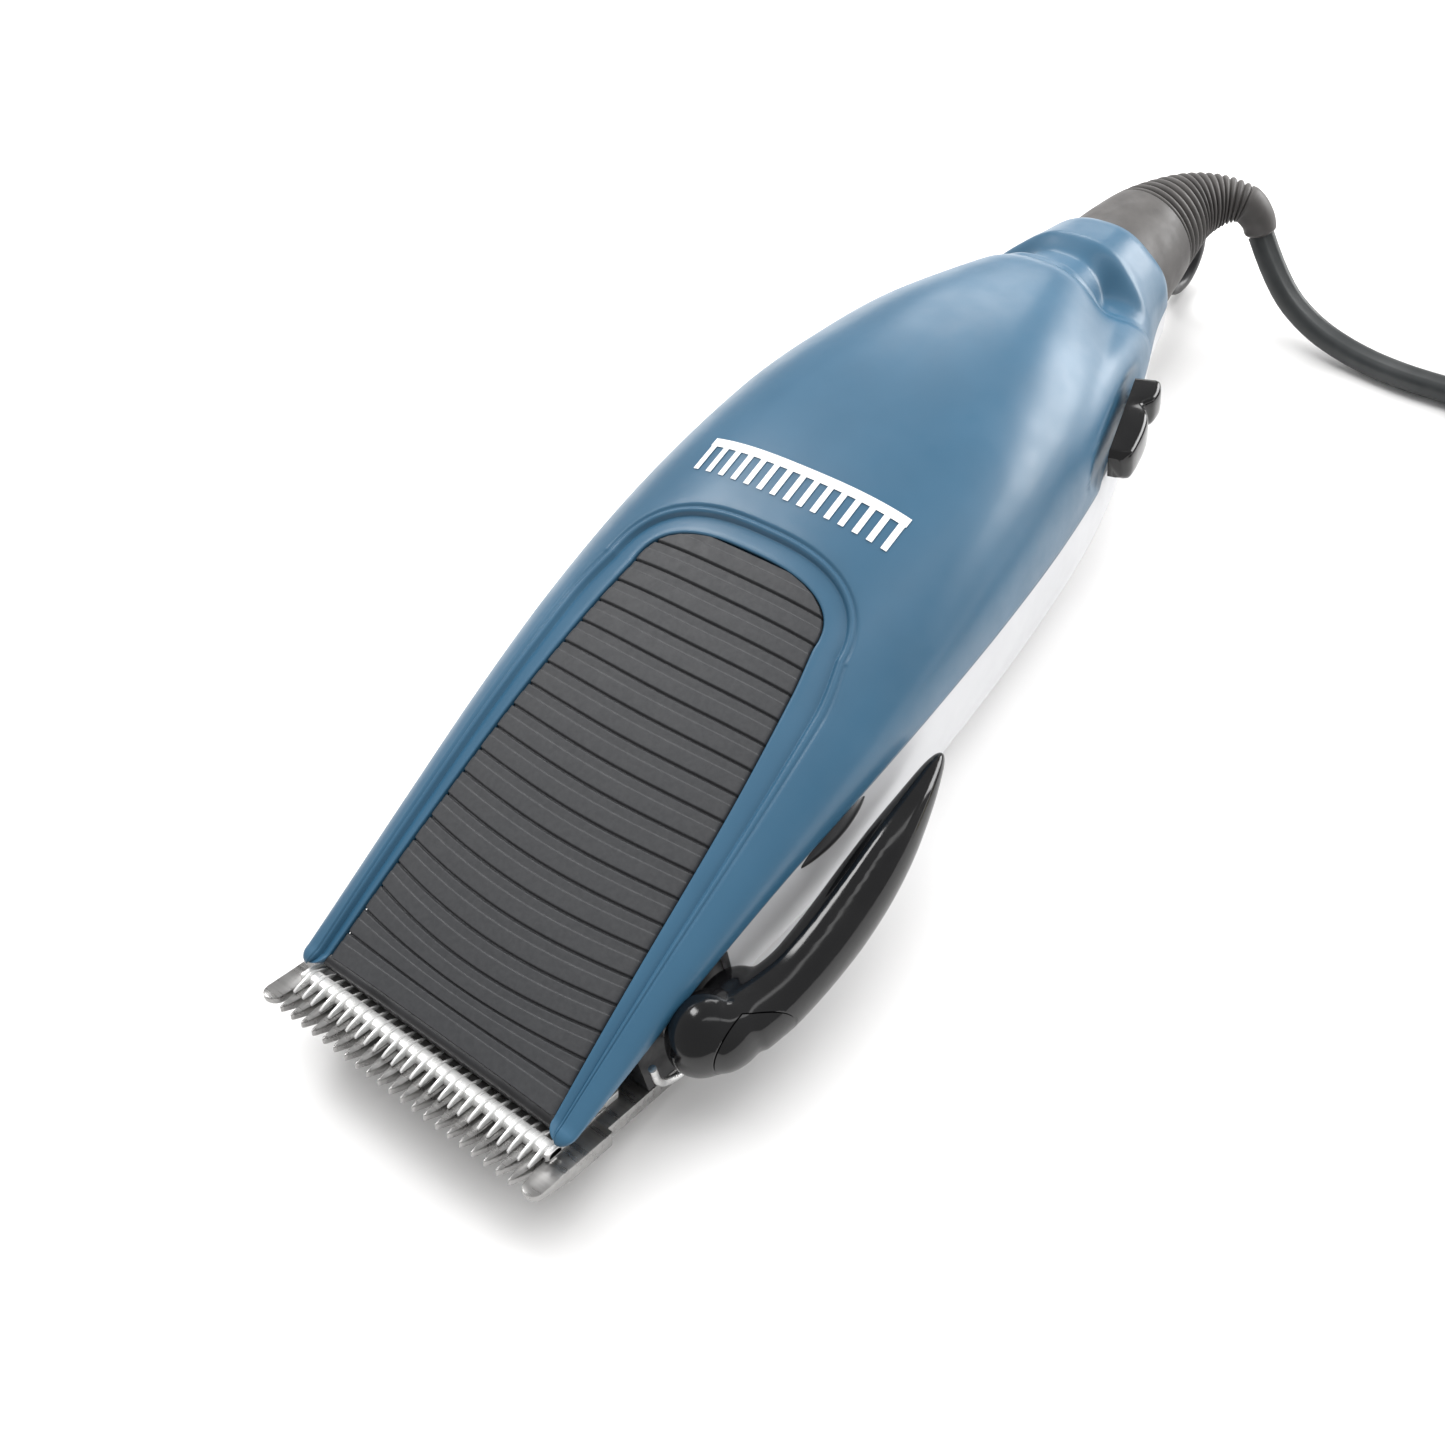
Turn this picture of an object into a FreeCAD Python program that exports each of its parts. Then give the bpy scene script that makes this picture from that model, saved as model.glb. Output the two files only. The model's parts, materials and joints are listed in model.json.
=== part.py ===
"""Corded hair clipper with a taper lever and a pivoting magnetic motor, in millimetres.

The clipper lies on its belly. While it is being built, X = 0 is its plane of symmetry with
the lever on the +X side, Y = 0 is at the fixed blade's tooth tips with +Y towards the cord,
and Z = 0 is the surface that it lies on. At the end every sub-part moves by the same step,
so that the origin is under the middle of the clipper itself, without its free cord.

The blades and what rides on them are drawn in the blade frame, which is tipped by
blade_tilt: x across, v back along the blade and n out of its upper face.
"""
import FreeCAD, Part
import math
import os

import Sketcher
from FreeCAD import Placement, Rotation, Vector

SHEET_VALUES = {
    # casing
    "wall": 2.4, "panel_depth": 1.3, "panel_gap": 0.12, "dome_power": 2.65, "belly_power": 3.2,
    "seam_gap": 0.2, "lower_inset": 0.5, "belly_drop": 1.2, "tail_bore_radius": 8.6,
    "tail_centre_z": 18.6, "collar_end": 156.5, "shell_front": 6.6, "lower_front": 34.6,
    # grip panel
    "panel_front": 8.6, "panel_end": 73.0, "panel_front_half": 18.6, "panel_end_half": 13.6,
    "panel_corner": 6.5,
    # blades
    "blade_tilt": 18.5, "blade_raise": 10.3, "blade_width": 46.0, "blade_rear_width": 44.4,
    "blade_length": 31.0, "blade_jog": 12.5, "blade_thickness": 2.2, "tooth_root": 5.6,
    "fixed_teeth": 21, "fixed_tooth_span": 38.0, "ear_width": 3.1, "blade_tip_thickness": 0.8,
    "cutter_width": 41.2, "cutter_front": 5.6, "cutter_rear": 14.5, "cutter_base": 2.25,
    "cutter_thickness": 1.05, "cutter_teeth": 26, "cutter_tooth_span": 39.0,
    "cutter_tip": 3.3, "cutter_ridge": 1.4, "blade_screw_place": 25.0,
    "blade_screw_spacing": 18.0, "screw_radius": 1.5, "screw_clearance": 1.6,
    "screw_head_radius": 2.9,
    # drive and taper
    "drive_block_width": 18.0, "drive_block_depth": 4.6, "drive_block_height": 2.1,
    "drive_slot_width": 3.0, "finger_width": 2.6, "carriage_width": 34.0,
    "carriage_front": 15.6, "carriage_bar": 3.6, "carriage_leg": 3.6, "carriage_rear": 26.0,
    "carriage_thickness": 2.0, "tension_wire_radius": 0.55,
    # lever
    "hinge_x": 26.4, "hinge_y": 26.0, "hinge_z": 13.0, "hub_radius": 5.6, "shaft_radius": 2.5,
    "shaft_clearance": 0.05, "taper_throw": 2.9, "eccentric_radius": 1.2,
    # switch
    "switch_turn": 16.6, "switch_length": 16.5, "switch_width": 2.8, "switch_height": 4.8,
    "switch_travel": 3.0, "switch_stem": 2.6,
    # motor
    "stack_base": 10.0, "stack_height": 14.0, "core_front": 60.0, "core_length": 36.0,
    "yoke_width": 4.5, "pole_width": 5.0, "centre_pole_width": 8.0, "pole_length": 10.9,
    "air_gap": 1.2, "armature_plate": 1.8, "arm_width": 3.0, "pivot_y": 118.0,
    "pivot_radius": 1.5, "pivot_clearance": 0.05, "spring_y": 104.0, "spring_radius": 2.2,
    "spring_wire": 0.35, "spring_seat": 9.2, "bracket_thickness": 1.2,
    # cord
    "cord_width": 3.8, "coil_mean_radius": 22.8, "coil_x": 72.6, "coil_y": 198.1,
    "coil_rings": 3, "coil_layers": 4, "plug_length": 36.0, "plug_width": 24.0,
    "plug_height": 13.0, "pin_length": 19.0, "pin_radius": 2.0, "pin_spacing": 18.6,
    "plug_rear_x": 73.6, "plug_rear_y": 155.6, "plug_heading": -66.5,
}

# The casing's outline: distance from the tooth tips, half width at the seam, height of the
# dome, height of the seam and lowest point of the belly.
STATIONS = [
    (6.6, 22.1, 13.5, 12.3, 9.0),
    (18.0, 22.9, 18.3, 14.6, 2.0),
    (30.0, 23.7, 22.6, 17.2, 0.0),
    (45.0, 24.9, 27.5, 19.8, 0.0),
    (60.0, 26.0, 31.9, 21.2, 0.0),
    (75.0, 26.3, 35.8, 21.6, 0.0),
    (90.0, 25.8, 38.4, 21.1, 0.0),
    (105.0, 24.5, 39.3, 20.2, 0.0),
    (120.0, 22.1, 38.5, 19.2, 0.0),
    (132.0, 18.9, 36.4, 18.8, 1.4),
    (142.0, 15.5, 33.8, 18.6, 4.2),
    (150.0, 12.5, 31.0, 18.6, 6.6),
    (156.5, 10.9, 29.4, 18.6, 8.0),
]
ARC_POINTS = 17  # points on a section's curved side

# The strain relief's centreline, with the radius at each point.
RELIEF = [
    (0.0, 156.6, 18.6, 10.0),
    (0.2, 163.0, 18.9, 9.1),
    (0.8, 169.5, 19.1, 8.0),
    (2.6, 176.3, 19.3, 6.1),
    (5.7, 180.4, 19.3, 4.5),
    (9.3, 182.2, 18.8, 3.5),
    (11.6, 182.3, 16.9, 3.2),
    (12.6, 182.0, 14.5, 2.7),
]

# The free cord: from the strain relief down to the table and along it into the coil, and
# from the top of the coil down to the plug.
CORD_ROUTE = [
    (12.6, 182.0, 14.5),
    (17.2, 179.6, 8.2),
    (24.0, 178.0, 3.7),
    (32.0, 176.6, 2.0),
    (40.0, 175.4, 2.0),
    (48.0, 175.6, 2.0),
    (56.0, 174.6, 2.0),
    (64.0, 172.6, 2.0),
    (72.6, 171.5, 2.0),
]
TAIL_ROUTE = [
    (53.1, 181.3, 13.3),
    (57.4, 175.0, 12.8),
    (63.4, 170.2, 10.8),
    (68.0, 165.8, 8.0),
    (71.0, 161.6, 6.5),
    (73.6, 155.6, 6.5),
]

doc = FreeCAD.newDocument("hair_clipper")
dims = doc.addObject("Spreadsheet::Sheet", "dims")
for row, (alias, number) in enumerate(SHEET_VALUES.items(), start=1):
    dims.set(f"A{row}", alias.replace("_", " "))
    dims.set(f"B{row}", str(number))
    dims.setAlias(f"B{row}", alias)
doc.recompute()


def size(alias):
    """A driving dimension, read back from the sheet."""
    return float(dims.get(alias))


TILT = size("blade_tilt")
TO_BLADE = Placement(Vector(0, 0, size("blade_raise")), Rotation(Vector(1, 0, 0), -TILT))
nodes = {}


# ---------------------------------------------------------------- helpers
def keep(name, obj):
    """Registers obj as the sub-part that is written to NAME.step."""
    obj.Label = name
    nodes[name] = obj
    return obj


def feature(name, shape):
    obj = doc.addObject("Part::Feature", name)
    obj.Shape = shape
    return obj


def bind(obj, **expressions):
    for prop, expression in expressions.items():
        obj.setExpression(prop, expression)
    return obj


def box(name, place, length, width, height):
    """A Part::Box whose three sizes are expressions on the sheet or plain numbers."""
    obj = doc.addObject("Part::Box", name)
    obj.Placement.Base = Vector(*place)
    return bind(obj, Length=str(length), Width=str(width), Height=str(height))


def cylinder(name, place, direction, radius, height):
    obj = doc.addObject("Part::Cylinder", name)
    obj.Placement = Placement(Vector(*place), Rotation(Vector(0, 0, 1), Vector(*direction)))
    return bind(obj, Radius=str(radius), Height=str(height))


def fuse(name, shapes):
    obj = doc.addObject("Part::MultiFuse", name)
    obj.Shapes = shapes
    return obj


def common(name, shapes):
    obj = doc.addObject("Part::MultiCommon", name)
    obj.Shapes = shapes
    return obj


def cut(name, base, tool):
    obj = doc.addObject("Part::Cut", name)
    obj.Base = base
    obj.Tool = tool
    return obj


def group(name, shapes):
    obj = doc.addObject("Part::Compound", name)
    obj.Links = shapes
    return obj


def new_body(name):
    return doc.addObject("PartDesign::Body", name)


def new_sketch(body, name, role="XY_Plane"):
    """A sketch on one of the body's own origin planes."""
    sketch = body.newObject("Sketcher::SketchObject", name)
    plane = [f for f in body.Origin.OriginFeatures if f.Role == role][0]
    sketch.AttachmentSupport = [(plane, "")]
    sketch.MapMode = "FlatFace"
    return sketch


def rectangle(sketch, left, low, width, height):
    """A rectangle with its corner and sizes driven by expressions on the sheet."""
    first = sketch.GeometryCount
    corners = [Vector(0, 0, 0), Vector(1, 0, 0), Vector(1, 1, 0), Vector(0, 1, 0)]
    for k in range(4):
        sketch.addGeometry(Part.LineSegment(corners[k], corners[(k + 1) % 4]), False)
    for k in range(4):
        following = first + (k + 1) % 4
        sketch.addConstraint(Sketcher.Constraint("Coincident", first + k, 2, following, 1))
    for k in range(4):
        kind = "Horizontal" if k % 2 == 0 else "Vertical"
        sketch.addConstraint(Sketcher.Constraint(kind, first + k))
    sized = [
        ("DistanceX", first, 1, first, 2, width),
        ("DistanceY", first + 1, 1, first + 1, 2, height),
        ("DistanceX", -1, 1, first, 1, left),
        ("DistanceY", -1, 1, first, 1, low),
    ]
    for kind, g1, p1, g2, p2, expression in sized:
        index = sketch.addConstraint(Sketcher.Constraint(kind, g1, p1, g2, p2, 1.0))
        sketch.setExpression(f"Constraints[{index}]", str(expression))


def circle(sketch, x, y, radius):
    first = sketch.GeometryCount
    sketch.addGeometry(Part.Circle(Vector(0, 0, 0), Vector(0, 0, 1), 1.0), False)
    sized = [("DistanceX", x), ("DistanceY", y)]
    for kind, expression in sized:
        index = sketch.addConstraint(Sketcher.Constraint(kind, -1, 1, first, 3, 1.0))
        sketch.setExpression(f"Constraints[{index}]", str(expression))
    index = sketch.addConstraint(Sketcher.Constraint("Radius", first, 1.0))
    sketch.setExpression(f"Constraints[{index}]", str(radius))


def outline(sketch, points):
    """A closed polygon through points, its corners tied together."""
    first = sketch.GeometryCount
    count = len(points)
    for k in range(count):
        start = Vector(*points[k], 0)
        end = Vector(*points[(k + 1) % count], 0)
        sketch.addGeometry(Part.LineSegment(start, end), False)
    for k in range(count):
        following = first + (k + 1) % count
        sketch.addConstraint(Sketcher.Constraint("Coincident", first + k, 2, following, 1))


def pad(body, name, sketch, length, both_ways=False, back=False):
    obj = body.newObject("PartDesign::Pad", name)
    obj.Profile = sketch
    obj.Midplane = both_ways
    obj.Reversed = back
    obj.setExpression("Length", str(length))
    return obj


def pocket(body, name, sketch, both_ways=False, back=False):
    obj = body.newObject("PartDesign::Pocket", name)
    obj.Profile = sketch
    obj.Type = 1
    obj.Midplane = both_ways
    obj.Reversed = back
    return obj


def row_of(body, name, original, sketch, span, count):
    """Repeats a feature along the sketch's horizontal axis."""
    obj = body.newObject("PartDesign::LinearPattern", name)
    obj.Originals = [original]
    obj.Direction = (sketch, ["H_Axis"])
    obj.setExpression("Length", span)
    obj.setExpression("Occurrences", count)
    body.Tip = obj
    return obj


def spline_wire(points, closing=True):
    curve = Part.BSplineCurve()
    curve.interpolate([Vector(*p) for p in points])
    edges = [curve.toShape()]
    if closing:
        edges.append(Part.LineSegment(Vector(*points[-1]), Vector(*points[0])).toShape())
    return Part.Wire(edges)


def bent_path(points, ratio=0.45):
    """Straight runs joined by tangent arcs. Returns the wire and the radius of each arc."""
    pts = [Vector(*p) for p in points]
    edges = []
    radii = []
    start = pts[0]
    for before, corner, after in zip(pts, pts[1:], pts[2:]):
        into = corner.sub(before)
        out = after.sub(corner)
        reach = ratio * min(into.Length, out.Length)
        turn = into.getAngle(out)
        enter = corner.sub(Vector(into).normalize().multiply(reach))
        leave = corner.add(Vector(out).normalize().multiply(reach))
        radius = reach / math.tan(turn / 2)
        radii.append(radius)
        towards = enter.add(leave).multiply(0.5).sub(corner)
        depth = radius / math.cos(turn / 2) - radius
        middle = corner.add(towards.normalize().multiply(depth))
        edges.append(Part.LineSegment(start, enter).toShape())
        edges.append(Part.Arc(enter, middle, leave).toShape())
        start = leave
    edges.append(Part.LineSegment(start, pts[-1]).toShape())
    return Part.Wire(edges), radii


def tube(points, radius, label):
    """A round bar along a bent path, its volume compared with section times length."""
    path, radii = bent_path(points)
    heading = Vector(*points[1]).sub(Vector(*points[0]))
    ring = Part.Wire(Part.Circle(Vector(*points[0]), heading, radius).toShape())
    solid = path.makePipeShell([ring], True, False)
    ideal = math.pi * radius**2 * path.Length
    print(f"{label}: length {path.Length:.1f}, volume {solid.Volume:.0f} of {ideal:.0f}")
    if radii:
        print(f"{label}: arc radii", " ".join(f"{r:.1f}" for r in radii))
    if abs(solid.Volume - ideal) > 0.02 * ideal:
        raise ValueError(f"{label}: the tube's volume is wrong")
    return solid, path.Length


# ---------------------------------------------------------------- casing
def dome_section(station, inset, drop):
    """The casing above the seam: a superellipse arch closed by a straight line."""
    y, half, top, seam, _ = station
    power = 2 / size("dome_power")
    points = []
    for k in range(ARC_POINTS):
        angle = math.pi * k / (ARC_POINTS - 1)
        c = math.cos(angle)
        x = math.copysign(abs(c) ** power, c) * (half - inset)
        z = seam - drop + (top - inset - seam + drop) * math.sin(angle) ** power
        points.append((x, y, z))
    return spline_wire(points)


def belly_section(station, inset, rise):
    """The casing below the seam, turned the other way up. It runs past the flat belly."""
    y, half, _, seam, low = station
    power = 2 / size("belly_power")
    half = half - size("lower_inset") - inset
    top = seam - size("seam_gap") + rise
    bottom = low - size("belly_drop") + inset
    if inset:
        bottom += size("belly_drop")
    points = []
    for k in range(ARC_POINTS):
        angle = math.pi * k / (ARC_POINTS - 1)
        c = math.cos(angle)
        x = math.copysign(abs(c) ** power, c) * half
        z = top - (top - bottom) * math.sin(angle) ** power
        points.append((x, y, z))
    return spline_wire(points)


def loft(name, wires):
    return feature(name, Part.makeLoft(wires, True, False))


def stretched(stations, front, rear):
    """The stations with the first and last moved along Y, to run past the ends."""
    first = (front,) + stations[0][1:]
    last = (rear,) + stations[-1][1:]
    return [first] + stations[1:-1] + [last]


def seam_height(y):
    """The height of the seam at y, between the stations."""
    for (y0, *_, s0, _), (y1, *_, s1, _) in zip(STATIONS, STATIONS[1:]):
        if y0 <= y <= y1:
            return s0 + (s1 - s0) * (y - y0) / (y1 - y0)
    return STATIONS[-1][3]


def panel_prism(name, gap):
    """The grip panel's outline seen from above, extruded through the dome."""
    front = size("panel_front") + gap
    end = size("panel_end") - gap
    wide = size("panel_front_half") - gap
    narrow = size("panel_end_half") - gap
    corner = size("panel_corner")
    side = end - corner
    crown = [(narrow, side), (narrow - 1.6, end - 2.6), (narrow - corner, end - 0.5)]
    right = [(wide, front)] + crown
    left = [(-x, y) for x, y in reversed(right)]
    points = [Vector(x, y, 0) for x, y in right + left]
    face = Part.Face(Part.makePolygon(points + [points[0]]))
    return feature(name, face.extrude(Vector(0, 0, 60)))


HOUSING_SCREWS = [(-9.5, 46.0), (9.5, 46.0), (0.0, 131.0)]
MOTOR_SCREWS = [(-17.65, 62.5), (-17.65, 93.5)]


def switch_frame():
    """The switch's own frame: x out of the casing, y back along it, z up."""
    return Placement(Vector(21.9, 126.3, 22.3), Rotation(Vector(0, 0, 1), size("switch_turn")))


def in_frame(frame, obj):
    obj.Placement = frame.multiply(obj.Placement)
    return obj


def upper_housing():
    wall = size("wall")
    outer = loft("dome_outer", [dome_section(p, 0, 0) for p in STATIONS])
    skin = loft("dome_skin", [dome_section(p, size("panel_depth"), 2) for p in
                              stretched(STATIONS, 5.0, 158.0)])
    hollow = stretched(STATIONS[:-1], 3.0, 149.0)
    inner = loft("dome_inner", [dome_section(p, wall, 2) for p in hollow])
    band = cut("panel_band", outer, skin)
    recess = common("panel_recess", [band, panel_prism("recess_outline", 0)])
    front_lip = box("front_lip", (-size("panel_front_half"), 0, 0),
                    "2 * dims.panel_front_half", "dims.panel_front", 40)
    tail = cylinder("dome_tail_bore", (0, 147, size("tail_centre_z")), (0, 1, 0),
                    "dims.tail_bore_radius + 0.05", 12)
    scoop = in_frame(switch_frame(), box("switch_scoop", (-1.75, -12.0, -2.8), 8, 21, 6.2))
    slot = in_frame(switch_frame(), box("switch_slot", (-8, -2.6, -1.6), 8, 9.2, 3.2))
    hinge = (size("hinge_y"), size("hinge_z"))
    hub_way = cylinder("hub_way", (21.6, *hinge), (1, 0, 0), "dims.hub_radius + 0.5", 12)
    crank_way = cylinder("crank_way", (10.5, *hinge), (1, 0, 0),
                         "dims.taper_throw + dims.eccentric_radius + 0.5", 8.2)
    shell = cut("dome_shell", outer, fuse("dome_cuts", [inner, recess, front_lip, tail,
                                                        scoop, slot, hub_way, crank_way]))
    posts = []
    bores = []
    for k, (x, y) in enumerate(HOUSING_SCREWS):
        low = seam_height(y) + 0.05
        posts.append(cylinder(f"dome_post_{k}", (x, y, low), (0, 0, 1), 3.2, 25))
        bores.append(cylinder(f"dome_post_bore_{k}", (x, y, low - 1), (0, 0, 1),
                              "dims.screw_radius + 0.05", 5.5))
    inside = common("dome_posts", [fuse("dome_post_set", posts), skin])
    solid = fuse("dome_with_posts", [shell, inside])
    keep("upper_housing", cut("upper_housing", solid, fuse("dome_bores", bores)))
    return skin


def grip_panel(skin):
    outer = loft("panel_top", [dome_section(p, 0.1, 2) for p in
                               stretched(STATIONS, 5.0, 158.0)])
    shape = panel_prism("panel_outline", size("panel_gap"))
    slab = cut("panel_slab", outer, skin)
    return keep("grip_panel", common("grip_panel", [slab, shape]))


def lower_housing():
    wall = size("wall")
    front = size("lower_front")
    stations = [p for p in STATIONS if p[0] > 20]
    whole = loft("belly_whole", [belly_section(p, 0, 0) for p in stations])
    above = box("above_table", (-40, front, 0), 80, 130, 60)
    outer = common("belly_outer", [whole, above])
    hollow = stretched(stations[:-1], front + wall, 149.0)
    inner = loft("belly_inner", [belly_section(p, wall, 3) for p in hollow])
    tail = cylinder("belly_tail_bore", (0, 147, size("tail_centre_z")), (0, 1, 0),
                    "dims.tail_bore_radius + 0.05", 12)
    arm_way = box("arm_way", (-5, front - 1, 10.5), 10, 6, 20)
    loop_slot = box("loop_slot", (-1.6, 149.8, 4.0), 3.2, 8, 5.0)
    pad_place = box("pad_place", (22.5, 48, 18.4), 6, 14, 4)
    shell = cut("belly_shell", outer, fuse("belly_cuts", [inner, tail, arm_way, loop_slot]))
    keep("lever_stop_pad", common("lever_stop_pad", [shell, pad_place]))
    posts = []
    bores = []
    for k, (x, y) in enumerate(HOUSING_SCREWS):
        height = seam_height(y) - 0.2
        posts.append(cylinder(f"belly_post_{k}", (x, y, 0), (0, 0, 1), 4.0, height))
        bores.append(cylinder(f"belly_post_bore_{k}", (x, y, -1), (0, 0, 1),
                              "dims.screw_clearance", 40))
        bores.append(cylinder(f"head_recess_{k}", (x, y, -5), (0, 0, 1),
                              "dims.screw_head_radius + 0.4", 10.5))
    for k, (x, y) in enumerate(MOTOR_SCREWS):
        posts.append(cylinder(f"motor_post_{k}", (x, y, 0), (0, 0, 1), 3.6,
                              "dims.stack_base - 0.05"))
        bores.append(cylinder(f"motor_post_bore_{k}", (x, y, 3.4), (0, 0, 1),
                              "dims.screw_radius + 0.05", 10))
    posts.append(cylinder("pivot_post", (0, size("pivot_y"), 0), (0, 0, 1), 3.6, 11.6))
    bores.append(cylinder("pivot_post_bore", (0, size("pivot_y"), 3.4), (0, 0, 1),
                          "dims.pivot_radius + 0.02", 10))
    inside = common("belly_posts", [fuse("belly_post_set", posts), outer])
    trimmed = cut("belly_trimmed", shell, pad_place)
    solid = fuse("belly_with_posts", [trimmed, inside])
    return keep("lower_housing", cut("lower_housing", solid, fuse("belly_bores", bores)))


def nose_frame():
    """The black frame between the casing and the blades, which carries the blade seat."""
    body = new_body("nose_frame_body")
    profile = new_sketch(body, "nose_profile", "YZ_Plane")
    blade_top = [(y, 10.3 + (2.25 - 0.3173 * y) / 0.9483) for y in (19.2, 30.9)]
    rise = seam_height(19.2) - 0.3
    outline(profile, [blade_top[0], (19.2, rise), (34.4, seam_height(34.4) - 0.3),
                      (34.4, 0.5), (31.2, 0.7), (31.2, blade_top[1][1]), blade_top[1]])
    pad(body, "nose_block", profile, 44.2, both_ways=True)
    cavity = new_sketch(body, "nose_cavity_plan")
    rectangle(cavity, -19.6, 10, 39.2, 21.4)
    pocket(body, "nose_cavity", cavity, both_ways=True)
    way = new_sketch(body, "arm_way_plan", "XZ_Plane")
    rectangle(way, -5, 9.8, 10, 20)
    pocket(body, "nose_arm_way", way, both_ways=True)
    side = new_sketch(body, "shaft_bore_place", "YZ_Plane")
    circle(side, "dims.hinge_y", "dims.hinge_z", "dims.shaft_radius + dims.shaft_clearance")
    pocket(body, "shaft_bore", side, back=True)
    seat = box("blade_seat", (-12.4, 21.6, 2.25), 24.8, 11.6, 4.6)
    in_frame(TO_BLADE, seat)
    bores = []
    for k, sign in enumerate((-1, 1)):
        bore = cylinder(f"seat_bore_{k}", (sign * size("blade_screw_spacing") / 2,
                                           size("blade_screw_place"), 0), (0, 0, 1),
                        "dims.screw_radius + 0.05", 9)
        bores.append(in_frame(TO_BLADE, bore))
    solid = fuse("nose_with_seat", [body, seat])
    return keep("nose_frame", cut("nose_frame", solid, fuse("seat_bores", bores)))


# ---------------------------------------------------------------- blades
def fixed_blade():
    body = new_body("fixed_blade")
    front = new_sketch(body, "front_plan")
    rectangle(front, "-dims.blade_width / 2", "dims.tooth_root", "dims.blade_width",
              "dims.blade_jog - dims.tooth_root")
    pad(body, "front_plate", front, "dims.blade_thickness")
    rear = new_sketch(body, "rear_plan")
    rectangle(rear, "-dims.blade_rear_width / 2", "dims.blade_jog - 0.5",
              "dims.blade_rear_width", "dims.blade_length - dims.blade_jog + 0.5")
    pad(body, "rear_plate", rear, "dims.blade_thickness")
    ears = new_sketch(body, "ear_plan")
    half = size("blade_width") / 2
    wide = size("ear_width")
    root = size("tooth_root") + 0.3
    for sign in (-1, 1):
        points = [(half, root), (half, 2.2), (half - 0.8, 0.5), (half - 1.8, 0),
                  (half - 2.6, 0.4), (half - wide, 3.0), (half - wide, root)]
        outline(ears, [(sign * x, y) for x, y in points])
    pad(body, "ears", ears, "dims.blade_thickness")
    tooth = new_sketch(body, "tooth_plan")
    left = -size("fixed_tooth_span") / 2
    outline(tooth, [(left - 0.55, root), (left - 0.62, 2.8), (left - 0.2, 0.35),
                    (left + 0.2, 0.35), (left + 0.62, 2.8), (left + 0.55, root)])
    first = pad(body, "first_tooth", tooth, "dims.blade_thickness")
    row_of(body, "fixed_tooth_row", first, tooth, "dims.fixed_tooth_span",
           "dims.fixed_teeth")
    grind = new_sketch(body, "grind_profile", "YZ_Plane")
    tip = size("blade_tip_thickness")
    thick = size("blade_thickness")
    outline(grind, [(-1, tip), (0.3, tip), (4.6, thick), (4.6, thick + 1), (-1, thick + 1)])
    pocket(body, "tip_grind", grind, both_ways=True)
    holes = new_sketch(body, "screw_hole_plan")
    for sign in ("-", ""):
        circle(holes, f"{sign}dims.blade_screw_spacing / 2", "dims.blade_screw_place",
               "dims.screw_clearance")
    pocket(body, "screw_holes", holes, both_ways=True)
    sinks = []
    for k, sign in enumerate((-1, 1)):
        sink = doc.addObject("Part::Cone", f"blade_sink_{k}")
        sink.Placement.Base = Vector(sign * size("blade_screw_spacing") / 2,
                                     size("blade_screw_place"), 0)
        bind(sink, Radius1="dims.screw_head_radius + 0.1", Radius2="dims.screw_clearance",
             Height="1.4")
        sinks.append(sink)
    blade = cut("fixed_blade_sunk", body, fuse("blade_sinks", sinks))
    blade.Placement = TO_BLADE
    return keep("fixed_blade", blade)


def blade_screws():
    screws = []
    for k, sign in enumerate((-1, 1)):
        x = sign * size("blade_screw_spacing") / 2
        y = size("blade_screw_place")
        head = doc.addObject("Part::Cone", f"blade_screw_head_{k}")
        head.Placement.Base = Vector(x, y, 0.05)
        bind(head, Radius1="dims.screw_head_radius", Radius2="dims.screw_radius",
             Height="1.4")
        shank = cylinder(f"blade_screw_shank_{k}", (x, y, 0.6), (0, 0, 1),
                         "dims.screw_radius", 5.9)
        slot = box(f"blade_screw_slot_{k}", (x - 2, y - 0.3, -1), 4, 0.6, 1.6)
        solid = fuse(f"blade_screw_solid_{k}", [head, shank])
        screws.append(cut(f"blade_screw_{k}", solid, slot))
    both = group("blade_screws", screws)
    both.Placement = TO_BLADE
    return keep("blade_screws", both)


def moving_blade():
    body = new_body("moving_blade")
    body.Placement = TO_BLADE
    base = size("cutter_base")
    plate = new_sketch(body, "cutter_plan")
    rectangle(plate, "-dims.cutter_width / 2", "dims.cutter_front", "dims.cutter_width",
              "dims.cutter_rear - dims.cutter_front")
    for sign, left in ((-1, "-dims.cutter_width / 2"), (1, "dims.cutter_width / 2 - 1.5")):
        rectangle(plate, left, "dims.cutter_rear", 1.5, 2.4)
    plate.AttachmentOffset = Placement(Vector(0, 0, base), Rotation())
    pad(body, "cutter_plate", plate, "dims.cutter_thickness")
    ridge = new_sketch(body, "ridge_plan")
    rectangle(ridge, "-dims.cutter_width / 2", "dims.cutter_front", "dims.cutter_width",
              "dims.cutter_ridge")
    ridge.AttachmentOffset = Placement(Vector(0, 0, base), Rotation())
    pad(body, "cutter_ridge", ridge, "dims.cutter_thickness + 0.3")
    tooth = new_sketch(body, "cutter_tooth_plan")
    left = -size("cutter_tooth_span") / 2
    tip = size("cutter_tip")
    root = size("cutter_front") + 0.3
    outline(tooth, [(left - 0.4, root), (left - 0.25, tip), (left + 0.25, tip),
                    (left + 0.4, root)])
    tooth.AttachmentOffset = Placement(Vector(0, 0, base), Rotation())
    first = pad(body, "first_cutter_tooth", tooth, "dims.cutter_thickness")
    row_of(body, "cutter_tooth_row", first, tooth, "dims.cutter_tooth_span",
           "dims.cutter_teeth")
    return keep("moving_blade", body)


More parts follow.
